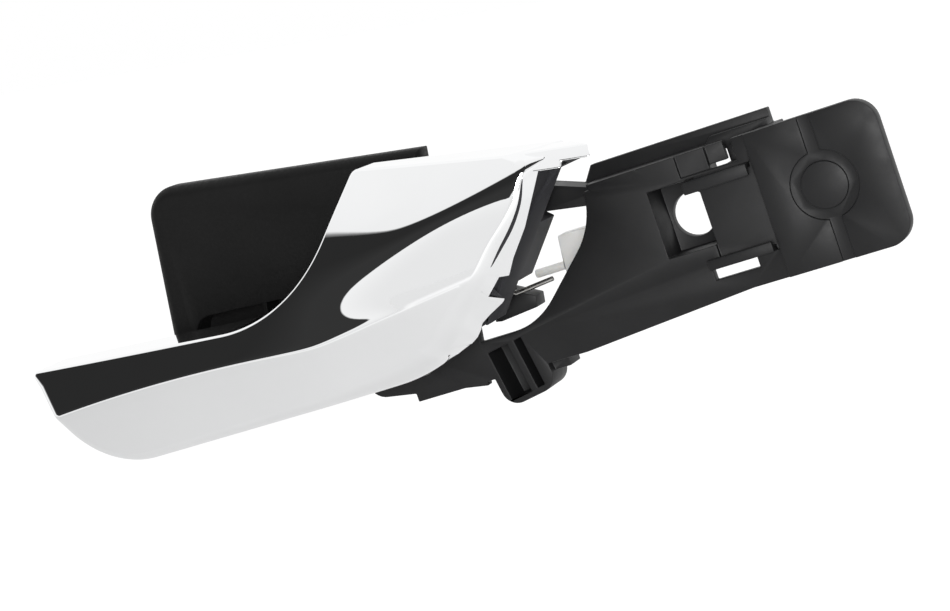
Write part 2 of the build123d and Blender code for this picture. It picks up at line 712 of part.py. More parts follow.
def end_cut():
    """Space behind the rear edge of the shell's end wall, with the notch."""
    shape = outline(
        (END_CUT_FOOT, HINGE_HEIGHT - RIM_HEIGHT, 0),
        (END_CUT_FOOT, HINGE_HEIGHT - END_CUT_LOW, 0),
        (NOTCH_LOW, HINGE_HEIGHT - END_CUT_LOW, 0),
        (NOTCH_LOW, HINGE_HEIGHT - END_CUT_LOW - NOTCH_DEPTH, 0),
        (NOTCH_HIGH, HINGE_HEIGHT - END_CUT_LOW - NOTCH_DEPTH / 2, 0),
        (NOTCH_HIGH, HINGE_HEIGHT - END_CUT_LOW, 0),
        (END_CUT_RISE, HINGE_HEIGHT - END_CUT_LOW, 0),
        (END_CUT_TOP, HINGE_HEIGHT - END_CUT_HIGH, 0),
        (END_CUT_TOP, HINGE_HEIGHT - RIM_HEIGHT, 0),
    )
    return beside_hinge(shape, END_WALL - COVER_WALL - CARRIER_FIT, END_WALL + COVER_WALL)


def make_lever_cover():
    """Chromed shell: crowned front, walls back to the rim, screw posts inside."""
    shape = lever_outline()
    high = CREST_HEIGHT + COVER_WALL
    post_foot = RIM_HEIGHT + CARRIER_SINK + CARRIER_WALL
    outer = (slab(front, shape, RIM_HEIGHT, high) & front_block(0, FRONT_STEP)) - end_wedge(0)
    inner = slab(front, offset(shape, -COVER_WALL), RIM_HEIGHT, high) & front_block(COVER_WALL, INSIDE_STEP)
    inner -= end_wedge(COVER_WALL)
    for x, z in COVER_POSTS:
        inner -= slab(front, Pos(x, z) * Circle(POST_RADIUS), post_foot, high)
    cover = outer - inner
    for x, z in COVER_POSTS:
        bore = Pos(x, z) * Circle(SCREW_RADIUS + SCREW_BITE)
        cover -= slab(front, bore, post_foot, RIM_HEIGHT + POST_BORE)
    return cover - end_cut() + ear()


def hook_seat():
    """Right end, middle and depth of the carrier's arm, where the hook snaps on."""
    x, z = on_hinge(BARREL_HIGH - HOOK_SEAT_DROP)
    return x + HOOK_ARM_REACH, z, LUG_HALF + LUG_GAP - HINGE_HEIGHT


def hook_arm():
    """Arm from the barrel to the hook, behind the upper lug."""
    right, middle, depth = hook_seat()
    near_x, near_z = on_hinge(BARREL_HIGH - HOOK_ARM_DROP)
    shape = outline(
        (near_x, near_z, 0),
        (right, middle - HOOK_ARM / 2, 0),
        (right, middle + HOOK_ARM / 2, 0),
        (near_x + HOOK_ARM, middle + HOOK_ARM / 2, 0),
    )
    arm = slab(front, shape, -depth - HOOK_ARM_DEPTH, -depth)
    half = BARREL_RADIUS / 2
    reach = depth + HINGE_HEIGHT + HOOK_ARM_DEPTH
    return arm + along_hinge((-half, half), (0, reach), BARREL_HIGH - HOOK_ARM, BARREL_HIGH)


def make_lever_carrier():
    """Black moulding that closes the lever's back and carries the hinge barrel and the hook's arm."""
    low = RIM_HEIGHT + CARRIER_SINK
    plate = slab(front, offset(lever_outline(), -COVER_WALL - CARRIER_FIT), low, low + CARRIER_WALL)
    inner = END_WALL - ROOT_WALL
    root_depth = (HINGE_HEIGHT - END_CUT_LOW + LUG_GAP, HINGE_HEIGHT - ROOT_BACK)
    root = along_hinge((inner, END_WALL), root_depth, ROOT_LOW, ROOT_HIGH)
    slope = outline(
        (ROOT_HIGH - ROOT_SLOPE, root_depth[0], 0),
        (ROOT_HIGH, root_depth[0], 0),
        (ROOT_HIGH, root_depth[1] - ROOT_TIP, 0),
    )
    root -= beside_hinge(slope, inner, END_WALL)
    stop_depth = (HINGE_HEIGHT - END_CUT_LOW - NOTCH_FILL, root_depth[1])
    stop_ends = (NOTCH_LOW + LUG_GAP, NOTCH_HIGH - LUG_GAP)
    root += along_hinge((inner + LUG_GAP, END_WALL - NOTCH_SINK), stop_depth, *stop_ends)
    barrel = hinge_disc(BARREL_RADIUS, BARREL_LOW, BARREL_HIGH)
    web = along_hinge((0, END_WALL), (HINGE_HEIGHT - RIM_HEIGHT, 0), BARREL_LOW, BARREL_HIGH)
    carrier = plate + root + barrel + web
    gusset_shape = outline(
        (0, 0, 0),
        (END_WALL, 0, 0),
        (END_WALL, HINGE_HEIGHT - low, 0),
        (-GUSSET_REACH, HINGE_HEIGHT - low, 0),
        (-BARREL_RADIUS, -BARREL_RADIUS, 0),
    )
    for start in (BARREL_LOW, BARREL_HIGH - GUSSET):
        carrier += slab(hinge_plane, gusset_shape, start, start + GUSSET)
    right, middle, depth = hook_seat()
    carrier += hook_arm()
    hole = Pos(right - HOOK_STEM / 2, middle) * Circle(HOOK_BOSS + HOOK_FIT)
    carrier -= slab(front, hole, -depth - HOOK_ARM_DEPTH, -depth)
    for x, z in COVER_POSTS:
        carrier -= slab(front, Pos(x, z) * Circle(SCREW_RADIUS + SCREW_FIT), low, low + CARRIER_WALL)
    return carrier - hinge_disc(PIN_RADIUS + PIN_FIT, BARREL_LOW, BARREL_HIGH)


def make_cover_screws():
    """Screws through the carrier into the cover's posts."""
    low = RIM_HEIGHT + CARRIER_SINK
    back = [Plane((x, 0, z), x_dir=(1, 0, 0), z_dir=(0, 1, 0)) for x, z in COVER_POSTS]
    return Compound(children=[screw(spot, -low, COVER_SCREW) for spot in back])


def make_hinge_pin():
    """Headed pin through both lugs and the barrel."""
    pin = hinge_disc(PIN_RADIUS, lower_lug_low - PIN_TAIL, upper_lug_high)
    return pin + hinge_disc(PIN_HEAD, upper_lug_high, upper_lug_high + PIN_HEAD_LENGTH)


def make_pin_clip():
    """Push-on ring under the lower lug."""
    ring = hinge_disc(CLIP_RADIUS, lower_lug_low - CLIP_LENGTH, lower_lug_low)
    return ring - hinge_disc(PIN_RADIUS, lower_lug_low - CLIP_LENGTH, lower_lug_low)


def make_cable_hook():
    """White hook snapped on the carrier's arm, with a peg for the cable end."""
    right, middle, depth = hook_seat()
    front_face = depth + HOOK_ARM_DEPTH + HOOK_FIT
    back_face = front_face + HOOK_STEM_DEPTH
    left = right - HOOK_STEM
    stem_foot = (bracket_plane * Pos(HOOK_LEFT, HOOK_HEAD_FOOT)).position
    stem = block(front, (left, right), (stem_foot.Z, middle + HOOK_ARM / 2), -back_face, -front_face)
    head = outline(
        (HOOK_LEFT, HOOK_HEAD_FOOT, 0),
        (left, HOOK_HEAD_FOOT, 0),
        (left, HOOK_HEAD_TOP, 0),
        (HOOK_LEFT + HOOK_SLOPE, HOOK_HEAD_TOP, 0),
    )
    hook = stem + slab(bracket_plane, head, -back_face, -HOOK_HEAD_FRONT)
    peg_depth = (HOOK_HEAD_FRONT + HOOK_STEM_DEPTH) / 2
    peg_foot = (bracket_plane * Pos(HOOK_LEFT, -PEG_DROP, -peg_depth)).position
    peg_plane = Plane(peg_foot, x_dir=(0, 1, 0), z_dir=bracket_plane.x_dir)
    hook += slab(peg_plane, Circle(PEG_RADIUS), -PEG_LENGTH, PEG_LENGTH / 2)
    boss = Pos(right - HOOK_STEM / 2, middle) * Circle(HOOK_BOSS)
    return hook + slab(front, boss, -front_face, -depth)


def make_return_spring():
    """Torsion spring round the pin, one leg over the lower lug's arm and one on the carrier's root."""
    pitch = (COIL_ROOM - 2 * LUG_GAP - 2 * WIRE_RADIUS) / COIL_TURNS
    start = lower_lug_high + LUG_GAP + WIRE_RADIUS
    turned = hinge_plane.offset(start) * Rot(0, 0, -90)
    path = turned * Helix(pitch, pitch * COIL_TURNS, COIL_RADIUS, lefthand=True)
    wire = RegularPolygon(WIRE_RADIUS, WIRE_SIDES)
    coil = sweep(Plane(path @ 0, z_dir=path % 0) * wire, path, is_frenet=True)
    first, last = path @ 0, path @ 1
    knee = (WIRE_KNEE, WIRE_KNEE, WIRE_KNEE)
    tip = first + hinge_side * LEG_REACH + hinge_axis * LEG_RISE
    long_leg = Polyline(first, first + hinge_side * LEG_BEND, tip)
    short_leg = Line(last, last - Vector(0, LEG_BACK, 0))
    spring = coil + Pos(*first) * Box(*knee) + Pos(*last) * Box(*knee)
    spring += sweep(Plane(first, z_dir=hinge_side) * wire, long_leg, transition=Transition.RIGHT)
    return spring + sweep(Plane(last, z_dir=(0, -1, 0)) * wire, short_leg)


NODES = {
    "bracket": make_bracket,
    "finger_cup": make_finger_cup,
    "cup_screws": make_cup_screws,
    "rest_buffer": make_rest_buffer,
    "hinge_pin": make_hinge_pin,
    "pin_clip": make_pin_clip,
    "return_spring": make_return_spring,
    "lever_cover": make_lever_cover,
    "lever_carrier": make_lever_carrier,
    "cover_screws": make_cover_screws,
    "cable_hook": make_cable_hook,
}

os.makedirs("parts", exist_ok=True)
for name, make in NODES.items():
    export_step(make(), f"parts/{name}.step")
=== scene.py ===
"""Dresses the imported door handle: chromed lever, mouldings, hardware and a plain studio."""
import math
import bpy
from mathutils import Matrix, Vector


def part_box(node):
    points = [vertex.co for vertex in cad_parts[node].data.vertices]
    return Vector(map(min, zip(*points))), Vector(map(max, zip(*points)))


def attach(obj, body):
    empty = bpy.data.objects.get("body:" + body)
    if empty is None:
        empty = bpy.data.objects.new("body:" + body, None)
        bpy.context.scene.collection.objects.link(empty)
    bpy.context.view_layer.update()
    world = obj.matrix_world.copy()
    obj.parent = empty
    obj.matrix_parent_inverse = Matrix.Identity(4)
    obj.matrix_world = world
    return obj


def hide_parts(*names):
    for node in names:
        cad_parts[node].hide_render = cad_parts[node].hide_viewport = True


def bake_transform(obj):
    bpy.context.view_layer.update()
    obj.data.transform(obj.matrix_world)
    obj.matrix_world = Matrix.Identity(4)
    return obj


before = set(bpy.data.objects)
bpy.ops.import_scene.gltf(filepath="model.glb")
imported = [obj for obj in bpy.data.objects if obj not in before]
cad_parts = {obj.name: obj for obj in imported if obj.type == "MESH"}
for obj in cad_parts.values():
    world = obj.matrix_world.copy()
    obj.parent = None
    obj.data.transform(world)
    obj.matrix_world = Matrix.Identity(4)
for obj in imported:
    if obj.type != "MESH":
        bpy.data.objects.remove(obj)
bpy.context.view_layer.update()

from types import SimpleNamespace

import bmesh
import bpy
import numpy as np
from mathutils import Matrix, Vector
from mathutils.geometry import delaunay_2d_cdt

bl_info = {
    "name": "Car door handle",
    "version": (1, 0, 0),
    "blender": (4, 5, 0),
    "location": "3D View > Sidebar > Handle",
    "description": "Builds the pieces and finishes of a car interior door handle",
    "category": "Object",
}

MM = 0.001

# Mouldings: gap that is welded in metres, angles in degrees that count as flat and as an edge
WELD_GAP = 2e-6
FLAT_ANGLE = 0.4
MOULD_ANGLE = 28.0

# Angles in degrees that are shaded smooth: on most pieces, the lever and the wire
SMOOTH_ANGLE = 30.0
LEVER_SMOOTH = 34.0
WIRE_SMOOTH = 50.0

# Axes that a front view keeps: across and up
FRONT_VIEW = [0, 2]

# Lever outline seen from the front, in millimetres: across, up and corner radius
TIP = (-148.4, -11.4, 1.0)
WAIST = (-79.8, -6.3, 32.0)
SHOULDER = (-64.7, 22.1, 2.2)
BELLY = (-54.3, -22.6, 34.0)
CHIN = (-131.8, -34.9, 19.0)
RIDGE_FALL = 0.027
RIDGE_ROUND = 1.0
HEEL_SLOPE = 28.0
HEEL_ROUND = 3.0
LEAST_ROUND = 0.25

# Numbers of the outline's corners from the ridge on; the arc at corner n is run n - 0.5
RIDGE_AT, HEEL_AT, BELLY_AT, CHIN_AT = 3, 4, 5, 6

# Edge rounding: where it grows towards the heel along the hinge and across the belly
HEEL_SPAN = (-21.0, -4.0)
BELLY_SPAN = (-20.0, 8.0)
CHIN_SHARE = 0.7
HEEL_EASE = 2.6

# Lever front: heights above the seat and slopes of its faces
CREST_HEIGHT = 39.95
TIP_FALL = 3.0
LEAF_SLOPE = 0.061
TOP_SLOPE = 0.667
LOWER_SLOPE = 0.2375
FOLD_X = -39.54
FOLD_Z = 11.84
FOLD_RISE = 0.3225
FOLD_SOFT = 1.05
FOLD_SPREAD = 0.00333
CREASE_X = -74.9
CREASE_Z = -12.78
CREASE_GRIP = 0.0334
CREASE_BODY = 0.2717
CREASE_SOFT = 2.2
CREASE_CURL = 0.00139
CREASE_ROUND = 0.15
CREASE_ROWS = (-0.6, -0.25, 0.0, 0.25, 0.5, 0.8, 1.15, 1.5, 1.9, 2.4)
FACET_SLOPE = 0.139
FACET_X = -54.3
FACET_GROWTH = 0.36
FACET_SOFT = 2.12
FACET_LEAST = 0.05

# Hinge line, and the shell's right end that runs beside it
HINGE_LEAN = math.radians(31.8)
HINGE_POINT = np.array((-37.5, -5.0, 3.15))
HINGE_AXIS = np.array((math.sin(HINGE_LEAN), 0.0, math.cos(HINGE_LEAN)))
HINGE_SIDE = np.array((math.cos(HINGE_LEAN), 0.0, -math.sin(HINGE_LEAN)))
END_WALL = 6.0
END_REACH = 0.6

# End edge: places along the hinge, and how far across it stands there
EDGE_ALONG = (-22.0, -16.0, -12.0, -8.0, -4.7, -0.7, 3.7, 9.0, 13.5, 16.0, 18.4, 20.0, 22.0)
EDGE_ACROSS = (3.6, 4.0, 4.6, 5.3, 5.5, 5.6, 5.8, 6.4, 6.55, 6.4, 6.0, 5.5, 5.0)

# Rear lines of the end wall, its notch and its lobe: along the hinge, across it, height above seat
WALL_LINE = (
    (-2.2, 8.5, 33.3), (1.5, 8.3, 34.2), (8.9, 8.6, 35.4), (16.0, 7.9, 36.1), (20.8, 7.0, 35.2),
    (22.6, 7.1, 35.0),
)
NOTCH_LINE = ((-8.3, 6.5, 35.5), (-2.9, 7.2, 35.2))
LOBE_LINE = (
    (-20.1, 5.7, 31.4), (-18.4, 6.2, 30.6), (-16.5, 6.3, 30.5), (-15.1, 6.2, 31.1),
    (-12.6, 7.1, 30.9), (-9.2, 8.6, 30.3),
)
WALL_LEAST = 0.6
WALL_NEAREST = 0.2

# How the rear edges turn inwards, and how the rim rises to the heel: places across and heights
WALL_TURN = (1.6, 1.2)
RIM_TURN = 0.4
HEEL_RISE = ((-64.0, -46.0), (0.0, 12.6))

# Carrier plates that close the end behind the wall, as dark sheets of painted shade seen through
# its notch: across the hinge, heights and along it
NOTCH_SHADE_PLATES = (
    ((3.4, 5.2), (19.0, 34.2), (-12.0, 19.5)),
    ((2.6, 4.4), (19.0, 30.6), (-18.5, -11.9)),
)

# Mesh of the shell: rings over the rolled edge, and what keeps clear of what
ROLL_SHARES = (0.03, 0.08, 0.14, 0.21, 0.29, 0.38, 0.48, 0.58, 0.69, 0.80, 0.90, 1.0)
ROLL_LEAST = 0.6
RING_KEPT = 0.97
GRID_CLEAR = 0.45
ROW_CLEAR = 0.4
CREASE_CLEAR = 0.2
LEVEL_LEAST = 0.02
INNER_STEPS = 4
INNER_SHARE = 1.2
ROW_SPACING = 0.87

# Points over which the edge's rounding, lean and roll are averaged
ROUND_MEAN, LEAN_MEAN, ROLL_MEAN = 11, 9, 7

# Seam between the rolled edge and the end wall
SEAM_SPAN = (-1.2, 21.8)
SEAM_REACH = 0.4
SEAM_EASE = 0.6
SEAM_STRIP = 0.03
SEAM_LEAST = 0.05
SEAM_FARTHEST = 0.6

# Ear over the hinge, and posts for the carrier's screws
EAR_LENGTH = 12.7
EAR_HEIGHT = 3.9
EAR_STEP = 6.4
EAR_TIP = 2.6
EAR_SWEEP = 8.0
EAR_SLANT = 0.6
EAR_ROOT = 6.0
EAR_REAR = 22.5
EAR_SINK = 0.1
EAR_LIFT = 0.1
EAR_ROUND = 0.5
POSTS = ((-118.0, -21.0), (-92.0, -17.5), (-56.0, 6.0))
POST_RADIUS = 3.0
POST_TAPER = 0.1
POST_BORE = 1.4
POST_FOOT = 19.9
POST_BORE_END = 25.5
POST_COVER = 2.0

# Return spring round the hinge
COIL_START = -13.65
COIL_PITCH = 1.345
COIL_TURNS = 2.75
COIL_RADIUS = 2.9
COIL_STEPS = 88
LEG_BEND = 5.0
LEG_REACH = 11.3
LEG_RISE = 6.5
LEG_BACK = 12.0

# Screws: places, heights of their seats and lengths, then the sizes of each
CUP_SCREWS = ((-72.5, 9.0), (-63.0, 9.0), (-63.0, -23.0))
CUP_SEAT = 12.0
CUP_SCREW_LENGTH = 8.5
COVER_SEAT = 17.4
COVER_SCREW_LENGTH = 7.5
SCREW_HEAD = 2.7
SCREW_HEAD_LENGTH = 1.7
SCREW_DOME = 0.35
SCREW_ROUND = 0.8
SCREW_RADIUS = 1.35
THREAD_PITCH = 0.9
THREAD_START = 0.6
THREAD_END = 1.2
THREAD_ROOT = 0.8
RECESS_HALF = 0.35
RECESS_REACH = 1.45
RECESS_TAPER = 0.55
RECESS_FLOOR = 0.5
RECESS_TOP = 2.2

# Radius at a turned head's middle; a screw's point: share of the radius, length and end radius
TURNED_START = 0.02
SCREW_POINT = (0.75, 0.8, 0.3)

# Buffer that the lever rests on
BUFFER_PLACE = (-62.0, -10.0)
BUFFER_DOME = 2.0
BUFFER_FLAT = 0.45
BUFFER_STEM = 1.75
BUFFER_EDGE = 0.2
BUFFER_LEAD = 0.4
BUFFER_END = 1.4

# Camera: width of its frame in millimetres, and where its view starts in metres
FRAME_WIDTH = 36.0
VIEW_START = 0.01

# Floor: half its side in metres, its finish, and a painted shade: a dimmer spot in the floor's
# glow, seen only in reflections, which the lever's front mirrors
FLOOR_HALF = 4.0
FLOOR_GREY = (0.6, 0.6, 0.6, 1.0)
FLOOR_ROUGH = 0.9
FLOOR_GLOW = 0.6
PAINTED_SHADE_SPOT = (-0.26, -0.16)
PAINTED_SHADE_REACH = 0.32
PAINTED_SHADE_GLOW = (0.1, 0.36)

# Room from the ground to the zenith, with the dark strip that polished metal mirrors
ROOM_STOPS = (
    (0.0, 0.84), (0.5, 0.84), (0.5745, 0.93), (0.5755, 0.034), (0.66, 0.034), (0.74, 0.023),
    (0.8005, 0.023), (0.8015, 0.9), (1.0, 0.95),
)
STRIP_FADE = (-0.3, -0.1)
KEY_PLACE = (0.22, -0.85, 0.10)
KEY_SIZE = 0.30
WHITE = (1.0, 1.0, 1.0, 1.0)


# Properties that a user would change


def metres(name, description, default):
    """Property for a length."""
    return bpy.props.FloatProperty(
        name=name, description=description, default=default, unit="LENGTH"
    )


def degrees(name, description, default):
    """Property for an angle, with its default in degrees."""
    return bpy.props.FloatProperty(
        name=name, description=description, default=math.radians(default), unit="ROTATION"
    )


def tint(name, description, default):
    """Property for the colour of a finish."""
    return bpy.props.FloatVectorProperty(
        name=name, description=description, default=default, size=3, subtype="COLOR"
    )


class LeverSizes(bpy.types.PropertyGroup):
    """Sizes of the chromed lever."""

    rim: metres("Rim height", "Height of the shell's rear rim above the seat", 0.017)
    wall: metres("Wall", "Thickness of the chromed shell", 0.002)
    top_round: metres("Top edge", "Rounding along the grip's top and the ridge", 0.0005)
    end_round: metres("End edge", "Rounding where the front turns onto the end wall", 0.0030)
    heel_round: metres("Heel edge", "Rounding at the lower right corner", 0.0055)
    belly_round: metres("Belly edge", "Rounding along the lower edge", 0.0028)
    seam_width: metres("Seam width", "Width of the gap behind the end edge", 0.0010)
    seam_depth: metres("Seam depth", "Depth of the gap behind the end edge", 0.0010)
    step: metres("Mesh step", "Spacing of the points on the chromed front", 0.0005)


class MouldingSizes(bpy.types.PropertyGroup):
    """Sizes of the plastic mouldings and the hardware."""

    edge: metres("Moulded edge", "Rounding left on the edges of the mouldings", 0.00022)
    wire: metres("Wire radius", "Radius of the spring wire", 0.00055)
    grain: metres("Grain size", "Size of the leather grain on the finger cup", 0.0009)


class FinishColours(bpy.types.PropertyGroup):
    """Colours of the finishes."""

    chrome: tint("Chrome", "Colour of the plated lever", (0.95, 0.955, 0.96))
    satin: tint("Satin black", "Colour of the bracket", (0.011, 0.011, 0.0115))
    grained: tint("Grained black", "Colour of the cup", (0.006, 0.006, 0.006))
    carrier: tint("Carrier black", "Colour of the carrier", (0.013, 0.013, 0.0135))
    white: tint("Natural white", "Colour of the hook", (0.93, 0.925, 0.90))
    steel: tint("Steel", "Colour of the spring and pin", (0.55, 0.54, 0.52))
    zinc: tint("Zinc", "Colour of the plated screws", (0.66, 0.65, 0.60))
    rubber: tint("Rubber", "Colour of the buffer", (0.014, 0.014, 0.014))


class StageSizes(bpy.types.PropertyGroup):
    """Camera, floor and light."""

    lens: bpy.props.FloatProperty(
        name="Lens", description="Focal length in millimetres",
        default=100.0, subtype="DISTANCE_CAMERA",
    )
    distance: metres("Distance", "From the camera to what it looks at", 0.561466)
    azimuth: degrees("Azimuth", "Turn of the camera to the right", 22.0)
    elevation: degrees("Elevation", "Height of the camera as an angle", 8.0)
    roll: degrees("Roll", "Lean of the camera", 10.5)
    target: bpy.props.FloatVectorProperty(
        name="Target", description="Point in the picture's middle", size=3, subtype="XYZ",
        default=(-0.047527, -0.015, -0.011481),
    )
    floor: metres("Floor", "Level of the floor", -0.085)
    key: bpy.props.FloatProperty(
        name="Key lamp", description="Power of the lamp in front on the right",
        default=5.0, unit="POWER",
    )
    sky: bpy.props.FloatProperty(
        name="Room light", description="Level of the light from all round", default=0.9, min=0.0
    )


class HandleSettings(bpy.types.PropertyGroup):
    """All settings of the handle."""

    lever: bpy.props.PointerProperty(type=LeverSizes)
    moulding: bpy.props.PointerProperty(type=MouldingSizes)
    colours: bpy.props.PointerProperty(type=FinishColours)
    stage: bpy.props.PointerProperty(type=StageSizes)


# Meshes


def linked(name, data):
    """Object in the scene that holds some data."""
    holder = bpy.data.objects.new(name, data)
    bpy.context.scene.collection.objects.link(holder)
    return holder


def add_piece(name, mesh, finishes, body, node, smooth=SMOOTH_ANGLE):
    """Links a mesh as a piece that rides on a body and stands for a CAD node."""
    if not mesh.polygons:
        raise RuntimeError(f"{name} came out empty")
    for finish in finishes:
        mesh.materials.append(finish)
    mesh.shade_smooth()
    mesh.set_sharp_from_angle(angle=math.radians(smooth))
    piece = linked(name, mesh)
    if body:
        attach(piece, body)
    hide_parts(node)
    return piece


def evaluated(name, mesh, kind, **settings):
    """Mesh with a modifier worked in."""
    holder = linked(name, mesh)
    modifier = holder.modifiers.new(kind, kind)
    for key, value in settings.items():
        setattr(modifier, key, value)
    bpy.context.view_layer.update()
    graph = bpy.context.evaluated_depsgraph_get()
    result = bpy.data.meshes.new_from_object(holder.evaluated_get(graph))
    result.name = name
    bpy.data.objects.remove(holder)
    return result


def skinned(name, rings):
    """Closed mesh over rings of as many points each, in millimetres."""
    sides = len(rings[0])
    faces = []
    for start in range(0, sides * (len(rings) - 1), sides):
        for k in range(sides):
            m = (k + 1) % sides
            faces.append((start + k, start + m, start + sides + m, start + sides + k))
    last = sides * (len(rings) - 1)
    faces += [tuple(range(sides)), tuple(range(last, last + sides))]
    return mesh_of(name, [point for ring in rings for point in ring], faces)


def hinge_block(name, across, heights, along):
    """Box in the hinge's frame: across it, between heights above the seat, and along it."""
    low, high = heights
    rings = []
    for place in across:
        (x, z), (x_end, z_end) = hinge_points(np.array(along), np.full(2, place))
        rings.append([(x, -low, z), (x_end, -low, z_end), (x_end, -high, z_end), (x, -high, z)])
    return skinned(name, rings)


def hollowed(name, mesh, cutter_mesh):
    """Mesh with a cutter's shape taken out of it."""
    cutter = linked("cutter", cutter_mesh)
    result = evaluated(name, mesh, "BOOLEAN", object=cutter, operation="DIFFERENCE", solver="EXACT")
    bpy.data.objects.remove(cutter)
    return result


def moulded_copy(node, name, edge):
    """Mesh of a CAD node with its sharp edges rounded as a mould leaves them."""
    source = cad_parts[node].data
    bm = bmesh.new()
    points = [bm.verts.new(v.co) for v in source.vertices]
    for polygon in source.polygons:
        try:
            bm.faces.new([points[i] for i in polygon.vertices])
        except ValueError:
            continue
    bmesh.ops.remove_doubles(bm, verts=bm.verts, dist=WELD_GAP)
    flat = math.radians(FLAT_ANGLE)
    bmesh.ops.dissolve_limit(bm, angle_limit=flat, verts=bm.verts, edges=bm.edges)
    bmesh.ops.recalc_face_normals(bm, faces=bm.faces)
    mesh = bpy.data.meshes.new(name)
    bm.to_mesh(mesh)
    bm.free()
    return evaluated(
        name, mesh, "BEVEL", width=edge, segments=2, limit_method="ANGLE",
        angle_limit=math.radians(MOULD_ANGLE), use_clamp_overlap=False,
    )


def mesh_of(name, points, faces, marks=None):
    """Mesh that faces outwards, from points in millimetres, faces and their finish numbers."""
    mesh = bpy.data.meshes.new(name)
    mesh.from_pydata([tuple(MM * c for c in p) for p in points], [], faces)
    if marks is not None:
        mesh.polygons.foreach_set("material_index", marks)
    bm = bmesh.new()
    bm.from_mesh(mesh)
    bmesh.ops.recalc_face_normals(bm, faces=bm.faces)
    bm.to_mesh(mesh)
    bm.free()
    mesh.validate()
    return mesh


def joined(name, *meshes):
    """One mesh from several."""
    bm = bmesh.new()
    for mesh in meshes:
        bm.from_mesh(mesh)
    result = bpy.data.meshes.new(name)
    bm.to_mesh(result)
    bm.free()
    return result


def turned(name, profile, x, z, sign=1, sides=40):
    """Solid turned about a line to the hand (1) or the door (-1), from radii and places on it."""
    angles = [2 * math.pi * k / sides for k in range(sides)]
    return skinned(name, [
        [(x + radius * math.cos(a), -sign * place, z + radius * math.sin(a)) for a in angles]
        for radius, place in profile
    ])


def tube(name, path, radius, sides=14):
    """Round wire along points in millimetres, with closed ends."""
    path = np.asarray(path)
    ahead = unit_rows(np.gradient(path, axis=0))
    across = np.cross(ahead[0], (0.3, 0.2, 0.9))
    angles = [2 * math.pi * k / sides for k in range(sides)]
    rings = []
    for place, way in zip(path, ahead):
        across = unit(across - way * (across @ way))
        over = np.cross(way, across)
        rings.append([place + radius * (across * math.cos(a) + over * math.sin(a)) for a in angles])
    return skinned(name, rings)


# Lever front


def crease_line(x):
    """Place of the crease in the front view."""
    bend = CREASE_SOFT * np.logaddexp(0.0, (x - CREASE_X) / CREASE_SOFT)
    curl = CREASE_CURL * np.minimum(0.0, x - CREASE_X) ** 2
    return CREASE_Z + CREASE_GRIP * (x - CREASE_X) + (CREASE_BODY - CREASE_GRIP) * bend - curl


def crest_height(x):
    """Height of the crease, which falls a little towards the tip."""
    reach = np.minimum(0.0, x - BELLY[0]) / (TIP[0] - BELLY[0])
    return CREST_HEIGHT - TIP_FALL * reach * reach


def fold_fall(x, z):
    """Fall of the upper face from the leaf's slope to the top's slope."""
    soft = FOLD_SOFT + FOLD_SPREAD * (x - FOLD_X) ** 2
    line = FOLD_Z + FOLD_RISE * (x - FOLD_X)
    return LEAF_SLOPE * z + (TOP_SLOPE - LEAF_SLOPE) * soft * np.logaddexp(0.0, (z - line) / soft)


def facet_fall(x, rise):
    """Extra fall beside the crease, which widens along the grip."""
    wide = FACET_LEAST + FACET_GROWTH * FACET_SOFT * np.logaddexp(0.0, (FACET_X - x) / FACET_SOFT)
    return FACET_SLOPE * wide * np.tanh(rise / wide)


def lever_front(x, z):
    """Height of the lever's front above the seat."""
    crease = crease_line(x)
    upper = crest_height(x) - fold_fall(x, z) + fold_fall(x, crease) - facet_fall(x, z - crease)
    lower = crest_height(x) - LOWER_SLOPE * (crease - z)
    return -CREASE_ROUND * np.logaddexp(-upper / CREASE_ROUND, -lower / CREASE_ROUND)


def end_line(z):
    """Front view of the lever's right end, along the hinge."""
    point = HINGE_POINT + HINGE_SIDE * END_WALL
    return point[0] + (z - point[2]) * math.tan(HINGE_LEAN)


def ridge_end():
    """Height in the front view of the ridge at its right end."""
    return SHOULDER[1] - RIDGE_FALL * (end_line(SHOULDER[1]) - SHOULDER[0])


def lever_corners():
    """Corners of the lever's outline, clockwise from the tip."""
    slope = math.tan(math.radians(HEEL_SLOPE))
    heel = (BELLY[1] + slope * (end_line(0.0) - BELLY[0])) / (1 - slope * math.tan(HINGE_LEAN))
    ridge = (end_line(ridge_end()), ridge_end(), RIDGE_ROUND)
    return [TIP, WAIST, SHOULDER, ridge, (end_line(heel), heel, HEEL_ROUND), BELLY, CHIN]


def unit(v):
    """Vector of length one."""
    return v / np.linalg.norm(v)


def unit_rows(rows):
    """Rows of length one."""
    return rows / np.linalg.norm(rows, axis=1)[:, None]


def shifted_corners(corners, inset):
    """Corners of the outline moved inwards, with their radii fitted."""
    flat = [np.array(c[:2]) for c in corners]
    count = len(flat)
    result = []
    for i in range(count):
        into = unit(flat[i] - flat[i - 1])
        out = unit(flat[(i + 1) % count] - flat[i])
        normal_in = np.array((into[1], -into[0]))
        normal_out = np.array((out[1], -out[0]))
        turn = into[0] * out[1] - into[1] * out[0]
        middle = unit(normal_in + normal_out)
        point = flat[i] + middle * inset / (middle @ normal_in)
        radius = max(corners[i][2] - inset, LEAST_ROUND) if turn < 0 else corners[i][2] + inset
        result.append((point[0], point[1], radius))
    return result


